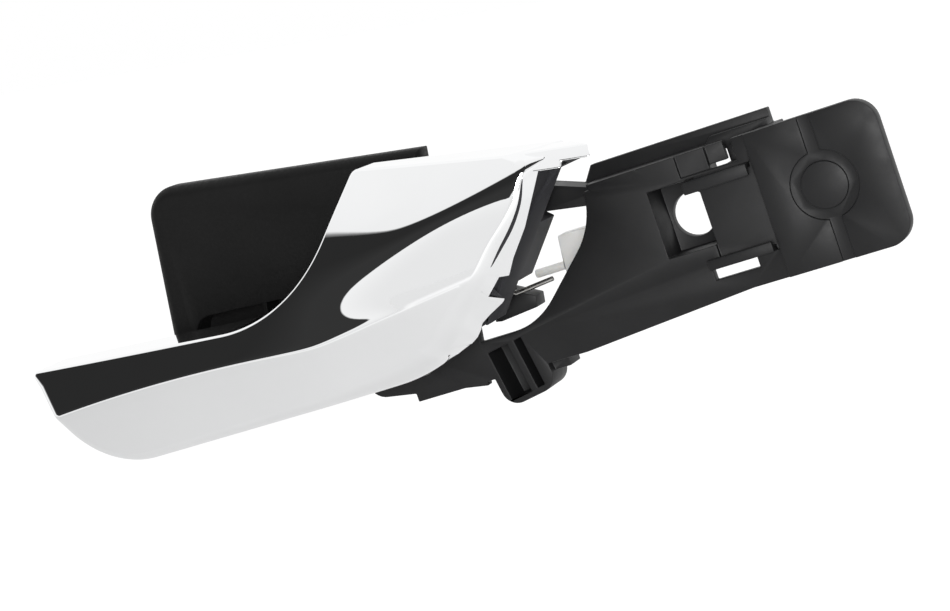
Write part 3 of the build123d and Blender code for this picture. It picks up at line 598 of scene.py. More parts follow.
def traced(corners, counts=None, step=1.0):
    """Points along an outline with rounded corners, the runs they are on, and the counts used."""
    flat = [np.array(c[:2]) for c in corners]
    total = len(flat)
    arcs = []
    for i in range(total):
        back = unit(flat[i - 1] - flat[i])
        ahead = unit(flat[(i + 1) % total] - flat[i])
        half = math.acos(back @ ahead) / 2
        reach = corners[i][2] / math.tan(half)
        centre = flat[i] + unit(back + ahead) * corners[i][2] / math.sin(half)
        arcs.append((flat[i] + back * reach, centre, flat[i] + ahead * reach, math.pi - 2 * half))
    used = []
    points = []
    runs = []
    for i in range(total):
        start, centre, end, sweep = arcs[i]
        following = arcs[(i + 1) % total][0]
        if counts is None:
            arc_count = max(5, int(corners[i][2] * sweep / step) + 1)
            run_count = max(2, int(np.linalg.norm(following - end) / step) + 1)
        else:
            arc_count, run_count = counts[i]
        used.append((arc_count, run_count))
        first = math.atan2(*(start - centre)[::-1])
        last = math.atan2(*(end - centre)[::-1])
        swing = (last - first + math.pi) % (2 * math.pi) - math.pi
        for k in range(arc_count):
            angle = first + swing * k / arc_count
            points.append(centre + corners[i][2] * np.array((math.cos(angle), math.sin(angle))))
            runs.append(i - 0.5)
        for k in range(run_count):
            points.append(end + (following - end) * k / run_count)
            runs.append(float(i))
    return np.array(points), np.array(runs), used


def beside(points, loop):
    """Distance of points from a closed loop, their nearest segments and the shares along these."""
    ahead = np.roll(loop, -1, axis=0) - loop
    length = np.maximum((ahead ** 2).sum(1), 1e-12)
    best = np.full(len(points), np.inf)
    nearest = np.zeros(len(points), int)
    share = np.zeros(len(points))
    for i in range(len(loop)):
        offset = points - loop[i]
        t = np.clip((offset @ ahead[i]) / length[i], 0.0, 1.0)
        gap = ((offset - t[:, None] * ahead[i]) ** 2).sum(1)
        closer = gap < best
        best[closer] = gap[closer]
        nearest[closer] = i
        share[closer] = t[closer]
    return np.sqrt(best), nearest, share


def between(values, nearest, share):
    """Values of a loop's points, eased along its segments."""
    following = np.roll(values, -1, axis=0)
    weight = share if values.ndim == 1 else share[:, None]
    return values[nearest] * (1.0 - weight) + following[nearest] * weight


def inside(points, loop):
    """True for the points that a closed loop surrounds."""
    found = np.zeros(len(points), bool)
    previous = np.roll(loop, 1, axis=0)
    for a, b in zip(loop, previous):
        crosses = (a[1] > points[:, 1]) != (b[1] > points[:, 1])
        at = a[0] + (points[:, 1] - a[1]) * (b[0] - a[0]) / (b[1] - a[1] if b[1] != a[1] else 1e-12)
        found ^= crosses & (points[:, 0] < at)
    return found


def edge_rounds(loop, runs, along, sizes):
    """Edge rounding along the outline: fine on the top, widest at the heel, eased on the belly."""
    rounds = (sizes.top_round, sizes.end_round, sizes.belly_round, sizes.heel_round)
    top, end, belly, heel = (value / MM for value in rounds)
    chin = CHIN_SHARE * belly
    on_end = np.interp(along, HEEL_SPAN, (heel, end))
    places = (CHIN[0], BELLY[0] + BELLY_SPAN[0], BELLY[0] + BELLY_SPAN[1])
    on_belly = np.interp(loop[:, 0], places, (chin, belly, heel))
    raw = np.where(runs < RIDGE_AT - 0.5, top, np.where(runs < HEEL_AT - 0.5, on_end, on_belly))
    raw = np.where(runs > CHIN_AT - 0.5, chin, np.where(runs < 0, top, raw))
    return smoothed(raw, ROUND_MEAN)


def hinge_places(loop):
    """Place of each outline point along the hinge and across it."""
    flat = loop - HINGE_POINT[FRONT_VIEW]
    return flat @ HINGE_AXIS[FRONT_VIEW], flat @ HINGE_SIDE[FRONT_VIEW]


def end_wall(along):
    """Rear line of the end wall, its notch and its lobe: across the hinge, and height."""
    rows = []
    for column in (1, 2):
        wall, notch, lobe = (
            np.interp(along, [row[0] for row in line], [row[column] for row in line])
            for line in (WALL_LINE, NOTCH_LINE, LOBE_LINE)
        )
        above = np.where(along < NOTCH_LINE[1][0], notch, wall)
        rows.append(np.where(along < NOTCH_LINE[0][0], lobe, above))
    return rows


def hinge_points(along, across):
    """Front view of places along the hinge and across it."""
    axis, side = (line[FRONT_VIEW] for line in (HINGE_AXIS, HINGE_SIDE))
    return HINGE_POINT[FRONT_VIEW] + axis * along[:, None] + side * across[:, None]


def filled(loop, extra):
    """Triangles that fill a loop through extra points inside it; the loop's points come first."""
    points = np.concatenate((loop, extra))
    edges = [(i, (i + 1) % len(loop)) for i in range(len(loop))]
    flat, _, faces, origins, _, _ = delaunay_2d_cdt([Vector(p) for p in points], edges, [], 1, 1e-7)
    back = [origin[0] if origin else None for origin in origins]
    if len(flat) != len(points) or None in back:
        raise RuntimeError("the lever's outline could not be filled")
    return [tuple(back[i] for i in face) for face in faces]


def kept_clear(points, loop, clear):
    """Points inside a loop that keep clear of it."""
    points = points[inside(points, loop)]
    gap, nearest, _ = beside(points, loop)
    return points[gap > clear[nearest]]


def grid_inside(loop, step, clear):
    """Staggered grid of points inside a loop that keep clear of it."""
    low, high = loop.min(0), loop.max(0)
    rows = []
    for n, z in enumerate(np.arange(low[1], high[1], step * ROW_SPACING)):
        xs = np.arange(low[0], high[0], step) + (0.5 * step if n % 2 else 0.0)
        rows.append(np.stack((xs, np.full_like(xs, z)), 1))
    return kept_clear(np.concatenate(rows), loop, clear)


def along_crease(loop, step, clear):
    """Rows of points beside the crease that keep clear of a loop."""
    xs = np.arange(loop[:, 0].min(), loop[:, 0].max(), step)
    rows = [np.stack((xs, crease_line(xs) + shift), 1) for shift in CREASE_ROWS]
    return kept_clear(np.concatenate(rows), loop, clear)


def smoothed(values, width):
    """Values round a closed loop, each the mean of its neighbours."""
    half = width // 2
    wrapped = np.concatenate((values[-half:], values, values[:half]))
    return np.convolve(wrapped, np.ones(width) / width, "valid")


def front_corners(corners, sizes):
    """Corners of the front's own edge, which is rounder at the heel than the rear edge."""
    ridge = (*corners[RIDGE_AT][:2], sizes.end_round / MM)
    heel = (*corners[HEEL_AT][:2], HEEL_EASE * sizes.heel_round / MM)
    return corners[:RIDGE_AT] + [ridge, heel] + corners[BELLY_AT:]


def front_slope(x, z):
    """Slopes of the lever's front across and up."""
    d = 0.01
    across = (lever_front(x + d, z) - lever_front(x - d, z)) / (2 * d)
    return across, (lever_front(x, z + d) - lever_front(x, z - d)) / (2 * d)


def lever_edge(sizes):
    """The front's edge, point by point: its run, its rounding and the end wall beside it."""
    corners = lever_corners()
    fore = front_corners(corners, sizes)
    front, runs, counts = traced(fore, step=sizes.step / MM)
    outer, _, _ = traced(corners, counts)
    core, _, _ = traced(shifted_corners(fore, sizes.wall / MM), counts)
    along, out = hinge_places(outer)
    on_end = out > END_WALL - END_REACH
    rounds = edge_rounds(outer, runs, along, sizes)
    near_end = np.clip(out / END_WALL * 2.0 - 1.0, 0.0, 1.0)
    lean = (END_WALL - np.interp(along, EDGE_ALONG, EDGE_ACROSS)) * near_end
    lean = smoothed(lean, LEAN_MEAN)
    shift = HINGE_SIDE[FRONT_VIEW] * lean[:, None]
    loop = front - shift
    ahead = unit_rows(np.roll(loop, -1, axis=0) - np.roll(loop, 1, axis=0))
    inward = np.stack((ahead[:, 1], -ahead[:, 0]), 1)
    wall_across, wall_height = end_wall(along)
    wall_spots = hinge_points(along, wall_across)
    wall_reach = np.maximum(np.linalg.norm(wall_spots - loop, axis=1), WALL_NEAREST)
    slope = (lever_front(*loop.T) - 0.5 * rounds - wall_height) / wall_reach
    arc = np.where(on_end, slope / np.hypot(1.0, slope), 1.0)
    arc = smoothed(np.clip(arc, ROLL_LEAST, 1.0), ROLL_MEAN)
    return SimpleNamespace(
        loop=loop, outer=outer, core=core - shift, runs=runs, along=along, out=out, on_end=on_end,
        inward=inward, rounds=rounds, arc=arc, wall_across=wall_across, wall_height=wall_height,
        wall_spots=wall_spots,
    )


def front_extra(edge, step):
    """Points inside the front's edge: rings over its roll, a grid and rows beside the crease."""
    rings = []
    for share in ROLL_SHARES:
        offset = share * edge.arc * edge.rounds
        ring = edge.loop + edge.inward * offset[:, None]
        gap, _, _ = beside(ring, edge.loop)
        rings.append(ring[(gap > RING_KEPT * offset) & inside(ring, edge.loop)])
    grid = grid_inside(edge.loop, step, edge.rounds + GRID_CLEAR * step)
    off_crease = np.abs(grid[:, 1] - crease_line(grid[:, 0]))
    grid = grid[off_crease > CREASE_ROWS[-1] + ROW_CLEAR * step]
    rows = along_crease(edge.loop, step / 2, edge.rounds + CREASE_CLEAR)
    return np.concatenate(rings + [grid, rows])


def rolled_front(edge, flat):
    """Heights and exact normals of the front's points, which roll over at the edge."""
    size = len(edge.loop)
    gap, nearest, share = beside(flat, edge.loop)
    gap[:size] = 0.0
    nearest[:size] = np.arange(size)
    share[:size] = 0.0
    radius = between(edge.rounds, nearest, share)
    short = np.maximum(between(edge.rounds * edge.arc, nearest, share) - gap, 0.0)
    level = np.sqrt(np.maximum(radius ** 2 - short ** 2, 0.0))
    heights = lever_front(*flat.T) - (radius - level)
    across, up = front_slope(*flat.T)
    steep = short / np.maximum(level, LEVEL_LEAST)
    toward = between(edge.inward, nearest, share)
    sides = (-across - steep * toward[:, 0], np.full(len(flat), -1.0), -up - steep * toward[:, 1])
    return heights, unit_rows(np.stack(sides, 1))


def shell_rows(edge, heights, sizes):
    """Rows of points behind the front's edge, over seam, wall and rim, and the seam's depth."""
    loop, outer, on_end = edge.loop, edge.outer, edge.on_end
    ease = np.clip((edge.along - SEAM_SPAN[0]) / (SEAM_SPAN[1] - SEAM_SPAN[0]), 0.0, 1.0)
    ease = np.where(edge.out > END_WALL - SEAM_REACH, np.sin(math.pi * ease) ** SEAM_EASE, 0.0)
    depth = ease * sizes.seam_depth / MM
    width = SEAM_LEAST + ease * sizes.seam_width / MM
    wall_height = np.minimum(edge.wall_height, heights - WALL_LEAST)
    below = (edge.runs >= HEEL_AT - 0.5) & (edge.runs <= BELLY_AT)
    rim = sizes.rim / MM
    rise = np.where(below, np.interp(outer[:, 0], *HEEL_RISE), 0.0)
    lip = np.where(on_end[:, None], edge.wall_spots, outer)
    lip_height = np.where(on_end, wall_height, rim + RIM_TURN + rise)
    wall_turn = hinge_points(edge.along, edge.wall_across - WALL_TURN[0])
    turn = np.where(on_end[:, None], wall_turn, outer + edge.inward * RIM_TURN)
    turn_height = np.where(on_end, wall_height - WALL_TURN[1], rim + rise)
    drop = heights - lip_height
    length = np.hypot(np.linalg.norm(lip - loop, axis=1), drop)
    rows = []
    far = SEAM_STRIP + width
    for reach, sink in ((SEAM_STRIP, 1.0), (far, 1.0), (SEAM_STRIP + far, 0.0)):
        share = np.minimum(reach / length, SEAM_FARTHEST)
        spots = loop + (lip - loop) * share[:, None] + edge.inward * (sink * depth)[:, None]
        rows.append((spots, heights - drop * share))
    return rows + [(lip, lip_height), (turn, turn_height), (edge.core, turn_height)], depth


def lever_shell(sizes):
    """Mesh of the chromed shell, the number of its front faces, and the front's exact normals."""
    step = sizes.step / MM
    edge = lever_edge(sizes)
    size = len(edge.loop)
    extra = front_extra(edge, step)
    faces = filled(edge.loop, extra)
    marks = [0] * len(faces)
    front_count = len(faces)
    flat = np.concatenate((edge.loop, extra))
    heights, normals = rolled_front(edge, flat)
    rows, depth = shell_rows(edge, heights[:size], sizes)
    coarse = INNER_STEPS * step
    inner_extra = grid_inside(edge.core, coarse, np.full(size, coarse / 2))
    inner = np.concatenate((edge.core, inner_extra))
    inner_heights = lever_front(*inner.T) - INNER_SHARE * sizes.wall / MM
    points = []
    starts = []
    for spots, tops in ((flat, heights), *rows, (inner, inner_heights)):
        starts.append(len(points))
        points += [(x, -h, z) for (x, z), h in zip(spots, tops)]
    seam_strips = range(3)
    for strip, (upper, lower) in enumerate(zip(starts, starts[1:])):
        for i in range(size):
            j = (i + 1) % size
            faces.append((upper + i, upper + j, lower + j, lower + i))
            # Painted shade: the seam's faces take the carrier's black, partly the dark of the gap
            # behind the edge and partly shade in the groove. The shell's inside takes the carrier's
            # black too.
            painted_seam = strip in seam_strips and depth[i] > SEAM_LEAST
            marks.append(1 if painted_seam or lower == starts[-1] else 0)
    for face in filled(edge.core, inner_extra):
        faces.append(tuple(starts[-1] + i for i in reversed(face)))
        marks.append(1)
    return mesh_of("lever_shell", points, faces, marks), front_count, normals


def set_front_normals(mesh, count, normals):
    """Gives the front's faces their exact normals, so that they mirror cleanly."""
    corner_normals = [n.vector.copy() for n in mesh.corner_normals]
    for polygon in mesh.polygons[:count]:
        for corner in polygon.loop_indices:
            corner_normals[corner] = Vector(normals[mesh.loops[corner].vertex_index])
    mesh.normals_split_custom_set(corner_normals)


def lever_ear():
    """Mesh of the stepped ear that carries the ridge on over the hinge, its end swept back."""
    top = ridge_end() + EAR_LIFT
    low = top - EAR_HEIGHT
    tip = top - EAR_TIP
    left = end_line(low)
    root, step, right = left - EAR_ROOT, left + EAR_STEP, left + EAR_LENGTH
    swept = right - EAR_SWEEP
    front = lever_front(left, top) - EAR_SINK
    tip_front = front - TOP_SLOPE * (EAR_HEIGHT - EAR_TIP)
    top_front = front - TOP_SLOPE * EAR_HEIGHT
    points = [
        (root, top_front, top), (right - EAR_SLANT, top_front, top), (swept, EAR_REAR, top),
        (root, EAR_REAR, top), (root, front, low), (step, front, low), (step, EAR_REAR, low),
        (root, EAR_REAR, low), (step, tip_front, tip), (right, tip_front, tip),
        (swept + EAR_SLANT, EAR_REAR, tip), (step, EAR_REAR, tip),
    ]
    faces = [
        (0, 1, 2, 3), (0, 4, 5, 8, 9, 1), (1, 9, 10, 2), (5, 6, 11, 8), (8, 11, 10, 9),
        (4, 7, 6, 5), (3, 2, 10, 11, 6, 7), (0, 3, 7, 4),
    ]
    mesh = mesh_of("lever_ear", [(x, -h, z) for x, h, z in points], faces)
    return evaluated(
        "lever_ear", mesh, "BEVEL", width=EAR_ROUND * MM, segments=4, limit_method="ANGLE",
        angle_limit=math.radians(SMOOTH_ANGLE),
    )


def lever_posts():
    """Meshes of the bored posts inside the shell."""
    posts = []
    for x, z in POSTS:
        head = lever_front(x, z) - POST_COVER
        profile = [
            (POST_RADIUS, head), (POST_RADIUS - POST_TAPER, POST_FOOT), (POST_BORE, POST_FOOT),
            (POST_BORE, POST_BORE_END),
        ]
        posts.append(turned("lever_post", profile, x, z, sides=24))
    return posts


# Finishes


def feed(tree, node, inputs):
    """Gives a node its inputs, each a value or the output of another node."""
    for key, value in inputs.items():
        if isinstance(value, bpy.types.NodeSocket):
            tree.links.new(value, node.inputs[key])
        else:
            node.inputs[key].default_value = value


def new_node(tree, kind, inputs, **settings):
    """Node with its settings and inputs."""
    node = tree.nodes.new("ShaderNode" + kind)
    for key, value in settings.items():
        setattr(node, key, value)
    feed(tree, node, inputs)
    return node


def new_finish(name, specular=0.5, metallic=0.0):
    """Empty finish with its shader and the place of each point on the object."""
    finish = bpy.data.materials.new(name)
    finish.use_nodes = True
    tree = finish.node_tree
    shader = tree.nodes["Principled BSDF"]
    feed(tree, shader, {"Specular IOR Level": specular, "Metallic": metallic})
    return finish, tree, shader, new_node(tree, "TexCoord", {}).outputs["Object"]


def mottle(tree, place, size, detail, rough=0.55):
    """Cloudy variation of a given size in metres."""
    inputs = {"Vector": place, "Scale": 1.0 / size, "Detail": detail, "Roughness": rough}
    return new_node(tree, "TexNoise", inputs).outputs["Fac"]


def pebbles(tree, place, size):
    """Leather-like cells of a given size in metres."""
    inputs = {"Vector": place, "Scale": 1.0 / size, "Smoothness": 0.6}
    return new_node(tree, "TexVoronoi", inputs, feature="SMOOTH_F1").outputs["Distance"]


def ranged(tree, source, low, high, start=0.3, end=0.7):
    """Variation that is brought between two values."""
    inputs = {"Value": source, "From Min": start, "From Max": end, "To Min": low, "To Max": high}
    return new_node(tree, "MapRange", inputs).outputs["Result"]


def tinted(tree, source, colour, darker, lighter):
    """Colour that goes between a darker and a lighter shade."""
    node = new_node(tree, "ValToRGB", {"Fac": source})
    for stop, position, share in zip(node.color_ramp.elements, (0.3, 0.7), (darker, lighter)):
        stop.position = position
        stop.color = (*[min(1.0, c * share) for c in colour], 1.0)
    return node.outputs["Color"]


def raised(tree, *layers):
    """Relief of the surface from layers, each a variation, a height in metres and a strength."""
    inputs = {}
    for source, height, strength in layers:
        inputs |= {"Height": source, "Distance": height, "Strength": strength}
        inputs["Normal"] = new_node(tree, "Bump", inputs).outputs["Normal"]
    return inputs["Normal"]


def clouded(name, colour, clouds, sheen, relief, specular=0.5, metallic=0.0):
    """Finish with clouded colour, uneven gloss and relief.

    Clouds and sheen are a pattern (size and detail) and the two values that it goes between. A
    layer of relief is a pattern, its height in metres and its strength.
    """
    finish, tree, shader, place = new_finish(name, specular, metallic)
    layers = [(mottle(tree, place, *layer[0]), *layer[1:]) for layer in relief]
    feed(tree, shader, {
        "Base Color": tinted(tree, mottle(tree, place, *clouds[0]), colour, *clouds[1:]),
        "Roughness": ranged(tree, mottle(tree, place, *sheen[0]), *sheen[1:]),
        "Normal": raised(tree, *layers),
    })
    return finish


def bright_chrome(colours):
    """Mirror plating with the faint haze and ripple of polished plastic."""
    clouds = ((0.03, 4.0), 0.985, 1.01)
    sheen = ((0.006, 5.0), 0.006, 0.022)
    relief = [((0.012, 1.0), 0.00004, 0.15)]
    return clouded("bright_chrome", colours.chrome, clouds, sheen, relief, metallic=1.0)


def moulded_black(name, colour, gloss, specular, texture):
    """Moulded plastic with spark-eroded texture and flow clouds."""
    clouds = ((0.018, 4.0), 0.82, 1.2)
    sheen = ((0.004, 6.0, 0.65), gloss - 0.06, gloss + 0.07)
    relief = [((0.02, 2.0), 0.0001, 0.2), ((texture, 3.0), 0.00002, 0.5)]
    return clouded(name, colour, clouds, sheen, relief, specular)


def grained_black(colours, grain):
    """Leather-grained moulding of the finger cup."""
    finish, tree, shader, place = new_finish("grained_black", 0.17)
    cells = pebbles(tree, place, grain)
    pores = mottle(tree, place, grain / 4, 2.0)
    feed(tree, shader, {
        "Base Color": tinted(tree, mottle(tree, place, 0.02, 4.0), colours.grained, 0.8, 1.2),
        "Roughness": ranged(tree, cells, 0.42, 0.58, 0.1, 0.6),
        "Normal": raised(tree, (cells, 0.00006, 0.5), (pores, 0.00002, 0.35)),
    })
    return finish


def natural_white(colours):
    """Unpigmented hard plastic that lets some light in."""
    clouds = ((0.006, 4.0), 0.95, 1.02)
    sheen = ((0.002, 4.0), 0.3, 0.42)
    relief = [((0.0015, 3.0), 0.00002, 0.3)]
    finish = clouded("natural_white", colours.white, clouds, sheen, relief, 0.45)
    tree = finish.node_tree
    feed(tree, tree.nodes["Principled BSDF"], {
        "Subsurface Weight": 0.25, "Subsurface Radius": (1.0, 0.9, 0.75),
        "Subsurface Scale": 0.0008,
    })
    return finish


def worked_metal(name, colour, rough, mark):
    """Drawn or plated metal with fine marks and dull clouds."""
    clouds = ((0.003, 5.0), 0.78, 1.12)
    sheen = ((0.0012, 4.0), rough - 0.08, rough + 0.1)
    return clouded(name, colour, clouds, sheen, [((mark, 4.0), 0.00002, 0.4)], metallic=1.0)


def buffer_rubber(colours):
    """Matt rubber with a chalky bloom."""
    clouds = ((0.003, 5.0), 0.8, 1.5)
    sheen = ((0.001, 4.0), 0.65, 0.85)
    relief = [((0.0004, 3.0), 0.00003, 0.5)]
    return clouded("buffer_rubber", colours.rubber, clouds, sheen, relief, 0.25)


def carrier_black(colours):
    """Black of the carrier, also on the lever's seam faces: partly the dark of the gap, partly
    painted shade in the groove.
    """
    known = bpy.data.materials.get("carrier_black")
    return known or moulded_black("carrier_black", colours.carrier, 0.42, 0.3, 0.0004)


# Operators


class HANDLE_OT_lever_cover(bpy.types.Operator):
    """Builds the chromed shell of the lever"""

    bl_idname = "handle.lever_cover"
    bl_label = "Chromed lever"

    def execute(self, context):
        settings = context.scene.handle
        shell, front_count, normals = lever_shell(settings.lever)
        mesh = joined("lever_cover", shell, lever_ear(), *lever_posts())
        finishes = [bright_chrome(settings.colours), carrier_black(settings.colours)]
        add_piece(
            "chromed_lever", mesh, finishes, "lever", "lever_cover", LEVER_SMOOTH
        )
        set_front_normals(mesh, front_count, normals)
        return {"FINISHED"}


class HANDLE_OT_mouldings(bpy.types.Operator):
    """Builds the bracket, the finger cup, the carrier and the cable hook"""

    bl_idname = "handle.mouldings"
    bl_label = "Mouldings"

    def execute(self, context):
        settings = context.scene.handle
        colours = settings.colours
        satin = moulded_black("satin_black", colours.satin, 0.46, 0.25, 0.0005)
        grained = grained_black(colours, settings.moulding.grain)
        carrier = carrier_black(colours)
        white = natural_white(colours)
        rows = (
            ("bracket", "bracket_moulding", satin, "base", "satin_black"),
            ("finger_cup", "cup_moulding", grained, "base", "grained_black"),
            ("lever_carrier", "carrier_moulding", carrier, "lever", "carrier_black"),
            ("cable_hook", "hook_moulding", white, "lever", "natural_white"),
        )
        for node, name, finish, body, slot in rows:
            mesh = moulded_copy(node, name, settings.moulding.edge)
            if node == "lever_carrier":
                # Painted shade: dark plates behind the end wall stand in for the shade seen through
                # its notch
                shade_plates = [hinge_block("notch_shade_plate", *plate) for plate in NOTCH_SHADE_PLATES]
                mesh = joined(name, mesh, *shade_plates)
            add_piece(name, mesh, [finish], body, node)
        return {"FINISHED"}


class HANDLE_OT_hardware(bpy.types.Operator):
    """Builds the spring, the pin with its clip, the screws and the buffer"""

    bl_idname = "handle.hardware"
    bl_label = "Hardware"

    def execute(self, context):
        settings = context.scene.handle
        colours = settings.colours
        edge = settings.moulding.edge
        steel = worked_metal("spring_steel", colours.steel, 0.3, 0.0004)
        pin_steel = worked_metal("pin_steel", colours.steel, 0.25, 0.0005)
        zinc = worked_metal("zinc_steel", colours.zinc, 0.34, 0.0005)
        rubber = buffer_rubber(colours)
        wire = tube("spring_wire", spring_path(), settings.moulding.wire / MM)
        spring = add_piece(
            "spring_wire", wire, [steel], None, "return_spring", WIRE_SMOOTH
        )
        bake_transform(spring)
        pin = moulded_copy("hinge_pin", "hinge_pin_steel", edge)
        clip = moulded_copy("pin_clip", "clip_ring", edge / 2)
        cup = [cross_screw(x, z, CUP_SEAT, 1, CUP_SCREW_LENGTH) for x, z in CUP_SCREWS]
        cover = [cross_screw(x, z, -COVER_SEAT, -1, COVER_SCREW_LENGTH) for x, z in POSTS]
        cup_set = joined("cup_screw_set", *cup)
        cover_set = joined("cover_screw_set", *cover)
        rows = (
            ("hinge_pin_steel", pin, pin_steel, "base", "pin_steel", "hinge_pin"),
            ("clip_ring", clip, pin_steel, "base", "pin_steel", "pin_clip"),
            ("cup_screw_set", cup_set, zinc, "base", "zinc_steel", "cup_screws"),
            ("cover_screw_set", cover_set, zinc, "lever", "zinc_steel", "cover_screws"),
            ("buffer_pad", buffer_mesh(), rubber, "base", "buffer_rubber", "rest_buffer"),
        )
        for name, mesh, finish, body, slot, node in rows:
            add_piece(name, mesh, [finish], body, node)
        return {"FINISHED"}


def spring_path():
    """Points of the spring wire: long leg, coil and short leg."""
    def at(p, y, s):
        return HINGE_POINT + HINGE_SIDE * p + np.array((0, y, 0)) + HINGE_AXIS * s

    path = []
    for left in np.linspace(1.0, 0.0, 9):
        reach = LEG_BEND + (LEG_REACH - LEG_BEND) * left
        path.append(at(reach, -COIL_RADIUS, COIL_START + LEG_RISE * left))
    for left in (0.8, 0.6, 0.4, 0.2):
        path.append(at(LEG_BEND * left, -COIL_RADIUS, COIL_START))
    for share in np.linspace(0.0, 1.0, COIL_STEPS + 1):
        angle = -math.pi / 2 - 2 * math.pi * COIL_TURNS * share
        rise = COIL_START + COIL_PITCH * COIL_TURNS * share
        path.append(at(COIL_RADIUS * math.cos(angle), COIL_RADIUS * math.sin(angle), rise))
    for k in range(1, 13):
        path.append(at(COIL_RADIUS, -LEG_BACK * k / 12, COIL_START + COIL_PITCH * COIL_TURNS))
    return path


def quarter(steps=8):
    """Angles of a quarter turn, without its start."""
    return [math.pi / 2 * k / steps for k in range(1, steps + 1)]


def cross_screw(x, z, seat, sign, length):
    """Mesh of a raised-head screw with a cross recess and a thread."""
    profile = [(TURNED_START, SCREW_HEAD_LENGTH)]
    for angle in quarter():
        rise = SCREW_DOME + (1.0 - SCREW_DOME) * math.cos(angle)
        profile.append((SCREW_HEAD * math.sin(angle) ** SCREW_ROUND, SCREW_HEAD_LENGTH * rise))
    profile += [(SCREW_HEAD, 0.0), (SCREW_RADIUS, 0.0)]
    root = SCREW_RADIUS * THREAD_ROOT
    place = THREAD_START
    while place + THREAD_PITCH < length - THREAD_END:
        profile += [(root, -place), (SCREW_RADIUS, -place - THREAD_PITCH / 2)]
        place += THREAD_PITCH
    share, taper, end = SCREW_POINT
    profile += [(root, -place), (SCREW_RADIUS * share, -length + taper), (end, -length)]
    profile = [(radius, seat + place) for radius, place in profile]
    body = turned("screw_body", profile, x, z, sign, 32)
    a, b = RECESS_HALF, RECESS_REACH
    cross = (
        (a, a), (a, b), (-a, b), (-a, a), (-b, a), (-b, -a), (-a, -a), (-a, -b), (a, -b), (a, -a),
        (b, -a), (b, a),
    )
    rings = [
        [(x + p * share, -sign * (seat + height), z + q * share) for p, q in cross]
        for share, height in ((1.0, RECESS_TOP), (RECESS_TAPER, RECESS_FLOOR))
    ]
    return hollowed("screw", body, skinned("screw_recess", rings))


def buffer_mesh():
    """Mesh of the domed rubber buffer with its stem."""
    low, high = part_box("rest_buffer")
    radius = (high.x - low.x) / 2 / MM
    top = -low.y / MM
    foot = -high.y / MM
    profile = [(TURNED_START, top)]
    for angle in quarter():
        wide = BUFFER_FLAT + (1.0 - BUFFER_FLAT) * math.sin(angle)
        profile.append((radius * wide, top - BUFFER_DOME * (1 - math.cos(angle))))
    profile += [
        (radius, CUP_SEAT + BUFFER_EDGE), (radius - BUFFER_EDGE, CUP_SEAT),
        (BUFFER_STEM, CUP_SEAT), (BUFFER_STEM, foot + BUFFER_LEAD), (BUFFER_END, foot),
    ]
    return turned("buffer_pad", profile, *BUFFER_PLACE)


class HANDLE_OT_stage(bpy.types.Operator):
    """Sets up the camera, the pale floor, the room light and the key lamp"""

    bl_idname = "handle.stage"
    bl_label = "Stage"

    def execute(self, context):
        stage = context.scene.handle.stage
        context.scene.view_settings.view_transform = "Standard"
        place_camera(context.scene, stage)
        lay_floor(stage)
        light_room(context.scene, stage)
        hang_key_lamp(stage)
        return {"FINISHED"}


def place_camera(scene, stage):
    """Camera at the photo's viewing angle, leaning as it does."""
    a, e, r = stage.azimuth, stage.elevation, stage.roll
    back = Vector((math.sin(a) * math.cos(e), -math.cos(a) * math.cos(e), math.sin(e)))
    level = Vector((math.cos(a), math.sin(a), 0.0))
    rise = back.cross(level)
    right = level * math.cos(r) - rise * math.sin(r)
    up = level * math.sin(r) + rise * math.cos(r)
    data = bpy.data.cameras.new("camera")
    data.lens = stage.lens
    data.sensor_width = FRAME_WIDTH
    data.clip_start = VIEW_START
    camera = linked("camera", data)
    turn = Matrix((right, up, back)).transposed().to_4x4()
    camera.matrix_world = Matrix.Translation(Vector(stage.target) + back * stage.distance) @ turn
    scene.camera = camera


def ray_sum(tree, *shares):
    """Sum over kinds of light ray, each times its share, which is a number or an output."""
    path = new_node(tree, "LightPath", {})
    total = 0.0
    for kind, share in shares:
        inputs = {0: path.outputs[kind], 1: share, 2: total}
        total = new_node(tree, "Math", inputs, operation="MULTIPLY_ADD").outputs["Value"]
    return total


def whitened(tree, colour, share):
    """Colour mixed with white by a share."""
    inputs = {"Fac": share, "Color1": colour, "Color2": WHITE}
    return new_node(tree, "MixRGB", inputs).outputs["Color"]


def lay_floor(stage):
    """Wide pale floor that keeps the shadow and looks white, also in polished metal, apart from a
    painted shade: a dimmer spot in its glow that only reflections see.
    """
    level = stage.floor
    sides = ((-1, -1), (1, -1), (1, 1), (-1, 1))
    corners = [(x * FLOOR_HALF, y * FLOOR_HALF, level) for x, y in sides]
    mesh = bpy.data.meshes.new("floor")
    mesh.from_pydata(corners, [], [(0, 1, 2, 3)])
    finish, tree, shader, place = new_finish("pale_floor", 0.0)
    # Painted shade: seen in reflections, the floor glows less near a spot in front of the handle
    ends = {0: place, 1: (*PAINTED_SHADE_SPOT, level)}
    away = new_node(tree, "VectorMath", ends, operation="DISTANCE").outputs["Value"]
    mirrored = ranged(tree, away, *PAINTED_SHADE_GLOW, 0.0, PAINTED_SHADE_REACH)
    glow = ray_sum(
        tree, ("Is Camera Ray", FLOOR_GLOW), ("Is Glossy Ray", mirrored),
        ("Is Transmission Ray", FLOOR_GLOW),
    )
    feed(tree, shader, {
        "Base Color": FLOOR_GREY, "Roughness": FLOOR_ROUGH, "Emission Color": WHITE,
        "Emission Strength": glow,
    })
    mesh.materials.append(finish)
    floor = linked("floor", mesh)


